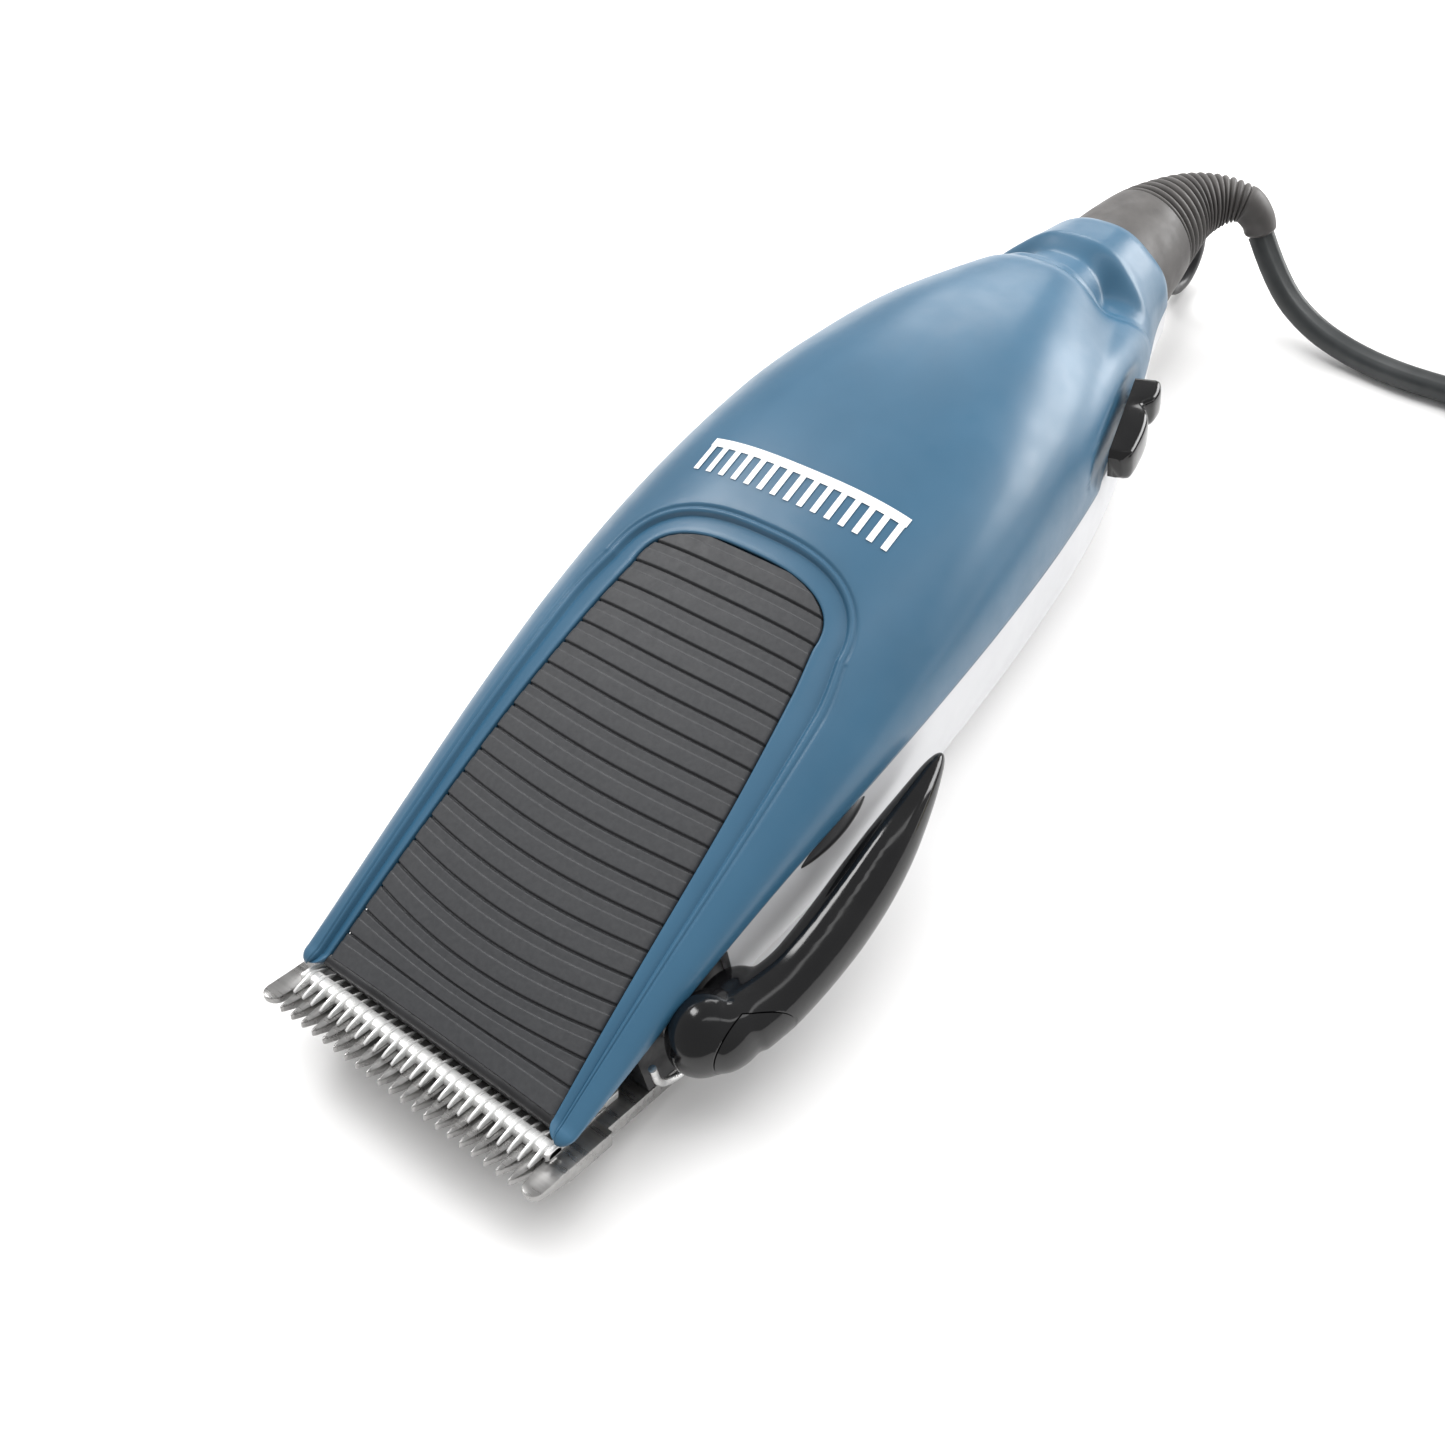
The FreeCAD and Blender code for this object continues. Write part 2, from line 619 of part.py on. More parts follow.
def drive_block():
    """Pressed on the moving blade; the armature's finger works in its slot."""
    body = new_body("drive_block")
    body.Placement = TO_BLADE
    plan = new_sketch(body, "block_plan")
    rectangle(plan, "-dims.drive_block_width / 2", 9.6, "dims.drive_block_width",
              "dims.drive_block_depth")
    plan.AttachmentOffset = Placement(
        Vector(0, 0, size("cutter_base") + size("cutter_thickness")), Rotation())
    pad(body, "block", plan, "dims.drive_block_height")
    slot = new_sketch(body, "slot_plan")
    rectangle(slot, "-dims.drive_slot_width / 2", 10.4, "dims.drive_slot_width", 5)
    pocket(body, "slot", slot, both_ways=True)
    return keep("drive_block", body)


def taper_carriage():
    """A plastic U-plate that carries the moving blade fore and aft under the lever's pin."""
    body = new_body("blade_guide")
    body.Placement = TO_BLADE
    lift = Placement(Vector(0, 0, 2.3), Rotation())
    bar = new_sketch(body, "guide_bar_plan")
    rectangle(bar, "-dims.carriage_width / 2", "dims.carriage_front", "dims.carriage_width",
              "dims.carriage_bar")
    bar.AttachmentOffset = lift
    pad(body, "guide_bar", bar, "dims.carriage_thickness")
    legs = new_sketch(body, "guide_leg_plan")
    for left in ("-dims.carriage_width / 2", "dims.carriage_width / 2 - dims.carriage_leg"):
        rectangle(legs, left, "dims.carriage_front + dims.carriage_bar",
                  "dims.carriage_leg",
                  "dims.carriage_rear - dims.carriage_front - dims.carriage_bar")
    legs.AttachmentOffset = lift
    pad(body, "guide_legs", legs, "dims.carriage_thickness")
    ear = new_sketch(body, "ear_plan_guide")
    rectangle(ear, 14.0, 21.6, 2.8, 4.4)
    ear.AttachmentOffset = lift
    pad(body, "ear", ear, 11.9)
    slot = new_sketch(body, "ear_slot_profile", "YZ_Plane")
    rectangle(slot, 22.5, 11.6, 2.6, 6)
    pocket(body, "ear_slot", slot, both_ways=True)
    return keep("blade_guide", body)


def tension_spring():
    """The U of wire that presses the moving blade on the fixed one."""
    points = [(-12, 11.6, 4.2), (-12, 15.0, 5.0), (-11.4, 18.4, 5.2), (-8.0, 20.0, 5.2),
              (8.0, 20.0, 5.2), (11.4, 18.4, 5.2), (12, 15.0, 5.0), (12, 11.6, 4.2)]
    solid, _ = tube(points, size("tension_wire_radius"), "tension spring")
    spring = feature("tension_spring", solid)
    spring.Placement = TO_BLADE
    return keep("tension_spring", spring)


# ---------------------------------------------------------------- lever
ARM_STATIONS = [
    # x, y, z of the centre, half width, half height
    (29.4, 27.5, 12.8, 4.2, 4.8),
    (30.2, 36.0, 12.8, 4.3, 4.9),
    (30.4, 45.0, 13.4, 4.4, 4.7),
    (30.0, 54.0, 14.5, 4.0, 4.2),
    (28.9, 63.0, 16.0, 2.8, 3.0),
    (27.8, 69.6, 17.2, 1.0, 1.1),
]


def ellipse_section(name, place, wide, high):
    obj = doc.addObject("Part::Ellipse", name)
    obj.MajorRadius = max(wide, high)
    obj.MinorRadius = min(wide, high)
    upright = Rotation(Vector(1, 0, 0), 90)
    spin = Rotation(Vector(0, 0, 1), 90 if high > wide else 0)
    obj.Placement = Placement(Vector(*place), upright.multiply(spin))
    return obj


def lever():
    x, y, z = size("hinge_x"), size("hinge_y"), size("hinge_z")
    sections = [ellipse_section(f"arm_section_{k}", p[:3], p[3], p[4])
                for k, p in enumerate(ARM_STATIONS)]
    arm = doc.addObject("Part::Loft", "arm_blank")
    arm.Sections = sections
    arm.Solid = True
    hub = doc.addObject("Part::Sphere", "hub")
    hub.Placement.Base = Vector(x, y, z)
    bind(hub, Radius="dims.hub_radius")
    nose = doc.addObject("Part::Ellipsoid", "hub_cheek")
    nose.Placement.Base = Vector(29.0, 26.8, 12.6)
    nose.Radius1 = 5.0
    nose.Radius2 = 4.6
    nose.Radius3 = 4.6
    inner_trim = box("hub_trim", (10, 10, 0), 12.5, 40, 40)
    blank = cut("lever_blank", fuse("lever_solid", [arm, hub, nose]), inner_trim)
    bore = cylinder("hub_bore", (x - 8, y, z), (1, 0, 0), "dims.shaft_radius", 7.0)
    screw_way = cylinder("hub_screw_way", (x - 2, y, z), (1, 0, 0),
                         "dims.screw_clearance", 5.0)
    head_way = cylinder("hub_head_way", (x + 1.6, y, z), (1, 0, 0),
                        "dims.screw_head_radius + 0.05", 2.0)
    corner = box("cap_corner", (28.8, 10, 0), 20, 21.2, 40)
    hollow = fuse("hub_hollow", [bore, screw_way, head_way])
    solid = cut("lever_hollowed", blank, hollow)
    keep("lever_arm", cut("lever_arm", solid, corner))
    keep("lever_cap", common("lever_cap", [solid, corner]))
    journal = cylinder("shaft_journal", (17.2, y, z), (1, 0, 0), "dims.shaft_radius", 8.0)
    tapped = cylinder("shaft_tap", (22.0, y, z), (1, 0, 0), "dims.screw_radius", 5)
    throw = size("taper_throw")
    up = TO_BLADE.Rotation.multVec(Vector(0, 0, throw))
    flange = cylinder("shaft_flange", (17.1, y, z), (1, 0, 0),
                      "dims.taper_throw + dims.eccentric_radius + 0.15", 1.3)
    pin = cylinder("eccentric_pin", (13.6, y + up.y, z + up.z), (1, 0, 0),
                   "dims.eccentric_radius", 4.2)
    shaft = fuse("shaft_solid", [journal, flange, pin])
    keep("lever_shaft", cut("lever_shaft", shaft, tapped))
    head = cylinder("lever_screw_head", (x + 1.65, y, z), (1, 0, 0),
                    "dims.screw_head_radius", 1.6)
    shank = cylinder("lever_screw_shank", (22.3, y, z), (1, 0, 0), "dims.screw_radius", 6)
    keep("lever_screw", fuse("lever_screw", [head, shank]))


def detent_spring():
    """A bent steel wire on the nose frame that bears on the lever's hub."""
    points = [(22.1, 31.6, 8.4), (23.8, 31.6, 8.4), (23.9, 27.4, 6.0), (23.9, 22.8, 6.2),
              (23.9, 19.6, 9.2), (23.9, 19.6, 13.0)]
    solid, _ = tube(points, 0.5, "detent spring")
    return keep("lever_detent_spring", feature("lever_detent_spring", solid))


# ---------------------------------------------------------------- switch
def switch():
    frame = switch_frame()
    body = new_body("switch_slider_body")
    profile = new_sketch(body, "slider_profile")
    half = size("switch_length") / 2
    side = size("switch_width") / 2
    outline(profile, [(-side, -half), (side - 0.6, -half), (side, -half + 1.2),
                      (side, 0.6), (side - 0.9, 2.2), (side - 0.2, 4.2),
                      (side, half - 0.8), (side - 0.7, half), (-side, half)])
    profile.AttachmentOffset = Placement(Vector(0, 0, -size("switch_height") / 2),
                                         Rotation())
    pad(body, "slider_pad", profile, "dims.switch_height")
    stem = new_sketch(body, "stem_plan")
    rectangle(stem, -7.8, 1.2, 7.8, 4.8)
    pad(body, "stem", stem, "dims.switch_stem", both_ways=True)
    body.Placement = frame
    keep("switch_slider", body)
    case = box("switch_case", (-12.2, -7.5, -3.4), 5.4, 15, 6.8)
    way = box("switch_case_way", (-8.4, -3.0, -1.7), 4, 10.2, 3.4)
    solid = cut("switch_body_cut", case, way)
    solid.Placement = frame
    keep("switch_body", solid)


# ---------------------------------------------------------------- motor
def motor():
    pole_tip = -(size("arm_width") / 2 + size("armature_plate") + size("air_gap"))
    body = new_body("stator_core")
    lift = Placement(Vector(0, 0, size("stack_base")), Rotation())
    left = pole_tip - size("pole_length") - size("yoke_width")
    plan = new_sketch(body, "yoke_plan")
    rectangle(plan, left, "dims.core_front", "dims.yoke_width", "dims.core_length")
    plan.AttachmentOffset = lift
    pad(body, "yoke", plan, "dims.stack_height")
    poles = new_sketch(body, "pole_plan")
    start = left + size("yoke_width") - 0.2
    reach = "dims.pole_length + 0.2"
    rectangle(poles, start, "dims.core_front", reach, "dims.pole_width")
    rectangle(poles, start, "dims.core_front + dims.core_length / 2"
              " - dims.centre_pole_width / 2", reach, "dims.centre_pole_width")
    rectangle(poles, start, "dims.core_front + dims.core_length - dims.pole_width", reach,
              "dims.pole_width")
    poles.AttachmentOffset = lift
    pad(body, "poles", poles, "dims.stack_height")
    holes = new_sketch(body, "stator_hole_plan")
    for x, y in MOTOR_SCREWS:
        circle(holes, x, y, "dims.screw_clearance")
    pocket(body, "stator_holes", holes, both_ways=True)
    keep("stator_core", body)

    middle = size("core_front") + size("core_length") / 2
    deep = size("centre_pole_width")
    base = size("stack_base")
    tall = size("stack_height")
    inner = left + size("yoke_width")
    spool = [box("spool_tube", (inner + 1.3, middle - deep / 2 - 1.1, base - 1.1), 8.0,
                 "dims.centre_pole_width + 2.2", "dims.stack_height + 2.2")]
    for k, x in enumerate((inner + 0.3, inner + 9.2)):
        spool.append(box(f"spool_flange_{k}", (x, middle - 11, base - 3.8), 1.1, 22, 21.6))
    hole = box("spool_hole", (inner - 1, middle - deep / 2 - 0.1, base - 0.1), 16,
               "dims.centre_pole_width + 0.2", "dims.stack_height + 0.2")
    keep("coil_bobbin", cut("coil_bobbin", fuse("spool", spool), hole))
    winding = box("winding_block", (inner + 1.5, middle - 10.2, base - 2.9), 7.6, 20.4, 19.8)
    core = box("winding_hole", (inner, middle - deep / 2 - 1.2, base - 1.2), 14,
               "dims.centre_pole_width + 2.4", "dims.stack_height + 2.4")
    keep("field_coil", cut("field_coil", winding, core))

    screws = []
    for k, (x, y) in enumerate(MOTOR_SCREWS):
        shank = cylinder(f"motor_shank_{k}", (x, y, 4.0), (0, 0, 1), "dims.screw_radius",
                         base + tall - 3.0)
        head = cylinder(f"motor_head_{k}", (x, y, base + tall + 0.05), (0, 0, 1),
                        "dims.screw_head_radius - 0.3", 2.0)
        screws.append(fuse(f"motor_screw_{k}", [shank, head]))
    keep("motor_screws", group("motor_screws", screws))


def armature():
    body = new_body("armature_arm_body")
    side = new_sketch(body, "arm_profile", "YZ_Plane")
    pivot_y = size("pivot_y")
    outline(side, [(13.0, 12.15), (13.0, 13.05), (16.0, 13.6), (20.0, 14.6), (40.0, 18.0),
                   (58.0, 20.0), (pivot_y, 20.0), (pivot_y, 12.0), (30.0, 12.0),
                   (20.0, 11.3), (16.0, 11.5)])
    pad(body, "arm_bar", side, "dims.arm_width", both_ways=True)
    finger = box("drive_finger", (-size("finger_width") / 2, 11.8, 3.8),
                 "dims.finger_width", 1.8, 2.6)
    in_frame(TO_BLADE, finger)
    eye = cylinder("arm_eye", (0, pivot_y, 12.0), (0, 0, 1), 4.6, 8.0)
    bore = cylinder("arm_eye_bore", (0, pivot_y, 10.0), (0, 0, 1),
                    "dims.pivot_radius + dims.pivot_clearance", 12)
    solid = fuse("arm_solid", [body, finger, eye])
    keep("armature_arm", cut("armature_arm", solid, bore))
    plate_x = -(size("arm_width") / 2 + size("armature_plate"))
    keep("armature_core", box("armature_core", (plate_x, size("core_front"), 11.0),
                              "dims.armature_plate", "dims.core_length", 12.0))
    keep("armature_pivot_pin", cylinder("armature_pivot_pin", (0, pivot_y, 4.0), (0, 0, 1),
                                        "dims.pivot_radius", 18.0))
    ring = cylinder("clip_disc", (0, pivot_y, 20.3), (0, 0, 1), 3.2, 0.8)
    hole = cylinder("clip_hole", (0, pivot_y, 20.0), (0, 0, 1), "dims.pivot_radius", 2)
    keep("pivot_clip", cut("pivot_clip", ring, hole))


def return_springs():
    wire = size("spring_wire")
    radius = size("spring_radius")
    length = size("spring_seat") - size("arm_width") / 2 - 0.8
    springs = []
    for sign in (-1, 1):
        helix = Part.makeHelix(1.25, length - 2 * wire, radius)
        ring = Part.Wire(Part.Circle(Vector(radius, 0, 0), Vector(0, 1, 0), wire).toShape())
        solid = Part.Wire(helix.Edges).makePipeShell([ring], True, True)
        spring = feature(f"return_spring_{sign + 2}", solid)
        start = size("arm_width") / 2 + 0.4 + wire
        spring.Placement = Placement(Vector(sign * start, size("spring_y"), 16.0),
                                     Rotation(Vector(0, 0, 1), Vector(sign, 0, 0)))
        springs.append(spring)
    keep("return_springs", group("return_springs", springs))
    body = new_body("spring_bracket")
    profile = new_sketch(body, "bracket_profile", "XZ_Plane")
    seat = size("spring_seat")
    out = seat + size("bracket_thickness")
    floor = size("wall") + 0.9
    thick = size("bracket_thickness")
    outline(profile, [(-out, floor), (out, floor), (out, 21), (seat, 21),
                      (seat, floor + thick), (-seat, floor + thick), (-seat, 21),
                      (-out, 21)])
    pad(body, "bracket", profile, 8, both_ways=True)
    body.Placement.Base = Vector(0, size("spring_y"), 0)
    keep("spring_bracket", body)


# ---------------------------------------------------------------- wiring and tail
def wiring():
    keep("terminal_block", box("terminal_block", (-6.5, 137, 13), 13, 6.5, 6))
    motor_lead, _ = tube([(-4.5, 137, 16), (-4.5, 130, 16), (-8, 118, 22), (-10, 106, 25.9),
                          (-10, 88.2, 25.9)], 0.6, "motor lead")
    switch_lead, _ = tube([(6.5, 140.3, 17.5), (8.5, 140.3, 17.5), (8.93, 136.5, 22.3),
                           (10.65, 130.8, 22.3)], 0.6, "switch lead")
    leads = [feature("motor_lead", motor_lead), feature("switch_lead", switch_lead)]
    keep("lead_wires", group("lead_wires", leads))
    keep("inner_cord", cylinder("inner_cord", (0, 143.5, 16.5), (0, 1, 0),
                                "dims.cord_width / 2", 4.9))
    screws = []
    for k, (x, y) in enumerate(HOUSING_SCREWS):
        head = cylinder(f"housing_head_{k}", (x, y, 3.2), (0, 0, 1),
                        "dims.screw_head_radius", 2.2)
        shank = cylinder(f"housing_shank_{k}", (x, y, 5.0), (0, 0, 1), "dims.screw_radius",
                         seam_height(y) - 1.2)
        screws.append(fuse(f"housing_screw_{k}", [head, shank]))
    keep("housing_screws", group("housing_screws", screws))


def strain_relief():
    sections = []
    spots = [Vector(*p[:3]) for p in RELIEF]
    for k, point in enumerate(RELIEF):
        before = spots[max(k - 1, 0)]
        after = spots[min(k + 1, len(spots) - 1)]
        heading = after.sub(before) if k else Vector(0, 1, 0)
        if k == len(RELIEF) - 1:
            heading = Vector(*CORD_ROUTE[1]).sub(Vector(*CORD_ROUTE[0]))
        sections.append(Part.Wire(Part.Circle(spots[k], heading, point[3]).toShape()))
    cone = feature("relief_cone", Part.makeLoft(sections, True, False))
    neck = cylinder("relief_neck", (0, 148.4, size("tail_centre_z")), (0, 1, 0),
                    "dims.tail_bore_radius", 8.3)
    return keep("strain_relief", fuse("strain_relief", [cone, neck]))


def hanging_loop():
    """A stiff loop on a tongue that the two housings hold under the strain relief."""
    body = new_body("hanging_loop")
    side = new_sketch(body, "loop_profile", "YZ_Plane")
    outline(side, [(150.0, 6.6), (176.5, 5.4), (176.5, 7.8), (156.4, 8.4), (154.0, 8.9),
                   (150.0, 8.9)])
    pad(body, "tongue", side, 3.0, both_ways=True)
    ring = new_sketch(body, "ring_profile", "YZ_Plane")
    circle(ring, 181.0, 7.2, 6.4)
    pad(body, "ring", ring, 3.0, both_ways=True)
    eye = new_sketch(body, "eye_profile", "YZ_Plane")
    circle(eye, 181.0, 7.2, 4.2)
    pocket(body, "eye", eye, both_ways=True)
    return keep("hanging_loop", body)


# ---------------------------------------------------------------- free cord
def free_cord():
    radius = size("cord_width") / 2
    run, run_length = tube(CORD_ROUTE, radius, "cord")
    tail, tail_length = tube(TAIL_ROUTE, radius, "cord tail")
    width = size("cord_width")
    mean = size("coil_mean_radius")
    rings = size("coil_rings")
    layers = size("coil_layers")
    place = (size("coil_x"), size("coil_y"), 0.02)
    outer = cylinder("coil_outer", place, (0, 0, 1),
                     "dims.coil_mean_radius + dims.coil_rings * dims.cord_width / 2",
                     "dims.coil_layers * dims.cord_width")
    inner = cylinder("coil_inner", place, (0, 0, 1),
                     "dims.coil_mean_radius - dims.coil_rings * dims.cord_width / 2",
                     "dims.coil_layers * dims.cord_width")
    keep("cord_coil", cut("cord_coil", outer, inner))
    room = cylinder("coil_room", (place[0], place[1], -1), (0, 0, 1),
                    "dims.coil_mean_radius + dims.coil_rings * dims.cord_width / 2", 30)
    keep("cord", cut("cord", feature("cord_run", run), room))
    keep("cord_tail", cut("cord_tail", feature("cord_tail_run", tail), room))
    coiled = 2 * math.pi * mean * rings * layers
    print(f"coil: {rings * layers:.0f} turns, {coiled:.0f} mm, height {layers * width:.1f}")
    print(f"whole cord: {run_length + tail_length + coiled:.0f} mm")


def plug():
    """A flat moulded two-pin plug, lying beside the coil."""
    frame = Placement(Vector(size("plug_rear_x"), size("plug_rear_y"), 0),
                      Rotation(Vector(0, 0, 1), size("plug_heading") + 90))
    body = new_body("plug_body")
    plan = new_sketch(body, "plug_plan")
    long = size("plug_length")
    half = size("plug_width") / 2
    outline(plan, [(-3.2, 0), (3.2, 0), (5.0, -10), (half, -18), (half, -long + 2),
                   (half - 2, -long), (-half + 2, -long), (-half, -long + 2),
                   (-half, -18), (-5.0, -10)])
    pad(body, "plug_pad", plan, "dims.plug_height")
    body.Placement = frame
    keep("plug_body", body)
    pins = []
    for k, sign in enumerate((-1, 1)):
        pin = cylinder(f"plug_pin_{k}", (sign * size("pin_spacing") / 2, -long,
                                         size("plug_height") / 2), (0, -1, 0),
                       "dims.pin_radius", "dims.pin_length")
        pins.append(in_frame(frame, pin))
    keep("plug_pins", group("plug_pins", pins))


grip_panel(upper_housing())
lower_housing()
nose_frame()
fixed_blade()
blade_screws()
moving_blade()
drive_block()
taper_carriage()
tension_spring()
lever()
detent_spring()
switch()
motor()
armature()
return_springs()
wiring()
strain_relief()
hanging_loop()
free_cord()
plug()
doc.recompute()

# ---------------------------------------------------------------- origin, checks and files
CORD_NODES = ("cord", "cord_tail", "cord_coil", "plug_body", "plug_pins")
span = FreeCAD.BoundBox()
for name, obj in nodes.items():
    if name not in CORD_NODES:
        span.add(obj.Shape.optimalBoundingBox(False, False))
print(f"clipper: {span.XMin:.2f}..{span.XMax:.2f}, {span.YMin:.2f}..{span.YMax:.2f},"
      f" {span.ZMin:.2f}..{span.ZMax:.2f}")
row_step = Placement(Vector(-span.Center.x, -span.Center.y, -span.ZMin), Rotation())
print(f"step to the row's origin: {row_step.Base.x:.4f} {row_step.Base.y:.4f}"
      f" {row_step.Base.z:.4f}")
for obj in nodes.values():
    obj.Placement = row_step.multiply(obj.Placement)
doc.recompute()

bad = [o.Label for o in doc.Objects if "Invalid" in o.State or "Error" in o.State]
for name, obj in nodes.items():
    if obj.Shape.isNull() or not obj.Shape.isValid() or not obj.Shape.Solids:
        bad.append(name)
if bad:
    raise ValueError(f"failed sub-parts: {bad}")
os.makedirs("parts", exist_ok=True)
for name, obj in nodes.items():
    obj.Shape.exportStep(f"parts/{name}.step")
    print(f"{name}: {len(obj.Shape.Solids)} solid, {obj.Shape.Volume:.0f} cubic mm")
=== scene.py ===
"""Looks of the corded hair clipper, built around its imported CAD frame.

Lengths are in millimetres in the part's own layout: X = 0 is its plane of symmetry, Y = 0
is at the fixed blade's tooth tips with +Y towards the cord, and Z = 0 is what it lies on.
place() turns them into the frame's metres, with the shift read from the fixed blade.
"""
import bpy
import json
import math
from mathutils import Matrix, Vector


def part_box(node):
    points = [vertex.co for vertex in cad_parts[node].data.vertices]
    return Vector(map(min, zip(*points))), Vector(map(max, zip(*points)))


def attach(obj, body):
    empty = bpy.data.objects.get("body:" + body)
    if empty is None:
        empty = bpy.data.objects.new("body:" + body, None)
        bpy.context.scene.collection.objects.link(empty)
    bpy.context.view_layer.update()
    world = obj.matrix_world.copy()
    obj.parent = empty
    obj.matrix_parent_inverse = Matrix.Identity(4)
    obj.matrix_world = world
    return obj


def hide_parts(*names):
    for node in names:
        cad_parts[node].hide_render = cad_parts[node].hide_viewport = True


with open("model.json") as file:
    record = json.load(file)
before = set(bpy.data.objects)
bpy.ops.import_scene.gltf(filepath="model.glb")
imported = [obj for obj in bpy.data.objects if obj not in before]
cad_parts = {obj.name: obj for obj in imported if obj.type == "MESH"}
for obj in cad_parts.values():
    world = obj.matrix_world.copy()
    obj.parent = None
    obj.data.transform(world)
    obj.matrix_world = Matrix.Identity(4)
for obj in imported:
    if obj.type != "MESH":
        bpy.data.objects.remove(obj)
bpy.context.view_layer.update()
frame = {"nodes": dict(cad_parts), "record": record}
nodes = frame["nodes"]

MM = 0.001
blade_low, blade_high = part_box("fixed_blade")
SHIFT = Vector(((blade_low.x + blade_high.x) / 2, blade_low.y, 0))

# The casing's outline: distance from the tooth tips, half width at the seam, height of the
# dome and height of the seam.
STATIONS = [
    (6.6, 22.1, 13.5, 12.3),
    (18.0, 22.9, 18.3, 14.6),
    (30.0, 23.7, 22.6, 17.2),
    (45.0, 24.9, 27.5, 19.8),
    (60.0, 26.0, 31.9, 21.2),
    (75.0, 26.3, 35.8, 21.6),
    (90.0, 25.8, 38.4, 21.1),
    (105.0, 24.5, 39.3, 20.2),
    (120.0, 22.1, 38.5, 19.2),
    (132.0, 18.9, 36.4, 18.8),
    (142.0, 15.5, 33.8, 18.6),
    (150.0, 12.5, 31.0, 18.6),
    (156.5, 10.9, 29.4, 18.6),
]
DOME_POWER = 2.65
ARM_START = 8.6  # where the casing's two front arms begin to round off
ARM_END = 6.7
PANEL_SIDE_END = 66.0  # where the panel's straight sides end
PANEL_END = 73.0
COLLAR_START = 150.0
COLLAR_END = 156.4
BLADE_TILT = math.radians(18.5)
BLADE_RAISE = 10.3
ACROSS = Vector((1, 0, 0))
BACK = Vector((0, 1, 0))
UP = Vector((0, 0, 1))
SHARP_ANGLE = 35  # degrees between faces past which an edge stays sharp


# ---------------------------------------------------------------- geometry helpers
def place(x, y, z):
    """A point of the layout, in the frame's metres."""
    return Vector((x, y, z)) * MM + SHIFT


def blade_place(x, v, n):
    """A point of the blade frame: x across, v back along the blade, n out of its face."""
    y = v * math.cos(BLADE_TILT) + n * math.sin(BLADE_TILT)
    z = BLADE_RAISE - v * math.sin(BLADE_TILT) + n * math.cos(BLADE_TILT)
    return place(x, y, z)


def curve_value(table, at):
    """A smooth value through table's (place, value) pairs."""
    if at <= table[0][0]:
        slope = (table[1][1] - table[0][1]) / (table[1][0] - table[0][0])
        return table[0][1] + slope * (at - table[0][0])
    for k in range(len(table) - 1):
        x0, y0 = table[k]
        x1, y1 = table[k + 1]
        if at <= x1:
            break
    else:
        return table[-1][1]
    span = x1 - x0
    before = table[max(k - 1, 0)]
    after = table[min(k + 2, len(table) - 1)]
    m0 = (y1 - before[1]) / (x1 - before[0]) * span
    m1 = (after[1] - y0) / (after[0] - x0) * span
    t = (at - x0) / span
    return ((2 * t**3 - 3 * t**2 + 1) * y0 + (t**3 - 2 * t**2 + t) * m0
            + (3 * t**2 - 2 * t**3) * y1 + (t**3 - t**2) * m1)


def columns(rows):
    """A table of (place, value) pairs for each column of rows; the first one is the place."""
    return [[(row[0], row[c]) for row in rows] for c in range(1, len(rows[0]))]


def path_at(tables, at, reach):
    """A path's point and heading at a step, from its tables of x, y and z."""
    last = tables[0][-1][0]
    nearer, point, farther = (Vector([curve_value(t, min(max(k, 0), last)) for t in tables[:3]])
                              for k in (at - reach, at, at + reach))
    return point, (farther - nearer).normalized()


HALF, TOP, SEAM = columns(STATIONS)


def smooth(t):
    """0 up to t = 0, rising smoothly to 1 at t = 1 and beyond."""
    t = min(max(t, 0.0), 1.0)
    return t * t * (3 - 2 * t)


def resample(points, count):
    """count points evenly spaced along a line of points."""
    lengths = [0.0]
    for a, b in zip(points, points[1:]):
        lengths.append(lengths[-1] + (Vector(b) - Vector(a)).length)
    result = []
    k = 0
    for i in range(count):
        want = lengths[-1] * i / (count - 1)
        while k < len(points) - 2 and lengths[k + 1] < want:
            k += 1
        part = (want - lengths[k]) / max(lengths[k + 1] - lengths[k], 1e-9)
        result.append(Vector(points[k]).lerp(Vector(points[k + 1]), part))
    return result


def mesh_object(name, verts, faces, sharp_angle=None):
    """An object made of vertices in metres and faces."""
    mesh = bpy.data.meshes.new(name)
    mesh.from_pydata([tuple(v) for v in verts], [], faces)
    mesh.validate()
    obj = bpy.data.objects.new(name, mesh)
    bpy.context.scene.collection.objects.link(obj)
    shade(mesh, sharp_angle)
    return obj


def shade(mesh, sharp_angle=None):
    """Smooth shading, with sharp edges past an angle in degrees if one is given."""
    for polygon in mesh.polygons:
        polygon.use_smooth = True
    if sharp_angle is not None:
        mesh.set_sharp_from_angle(angle=math.radians(sharp_angle))


def grid_object(name, rows, round_way=False, cap_first=False, cap_last=False, sharp_angle=None):
    """A surface through rows of points, closed round each row and at its ends if asked."""
    wide = len(rows[0])
    verts = [v for row in rows for v in row]
    faces = []
    for i in range(len(rows) - 1):
        for j in range(wide if round_way else wide - 1):
            k = (j + 1) % wide
            faces.append((i * wide + j, i * wide + k, (i + 1) * wide + k, (i + 1) * wide + j))
    if cap_first:
        faces.append(tuple(reversed(range(wide))))
    if cap_last:
        faces.append(tuple(range((len(rows) - 1) * wide, len(rows) * wide)))
    return mesh_object(name, verts, faces, sharp_angle)


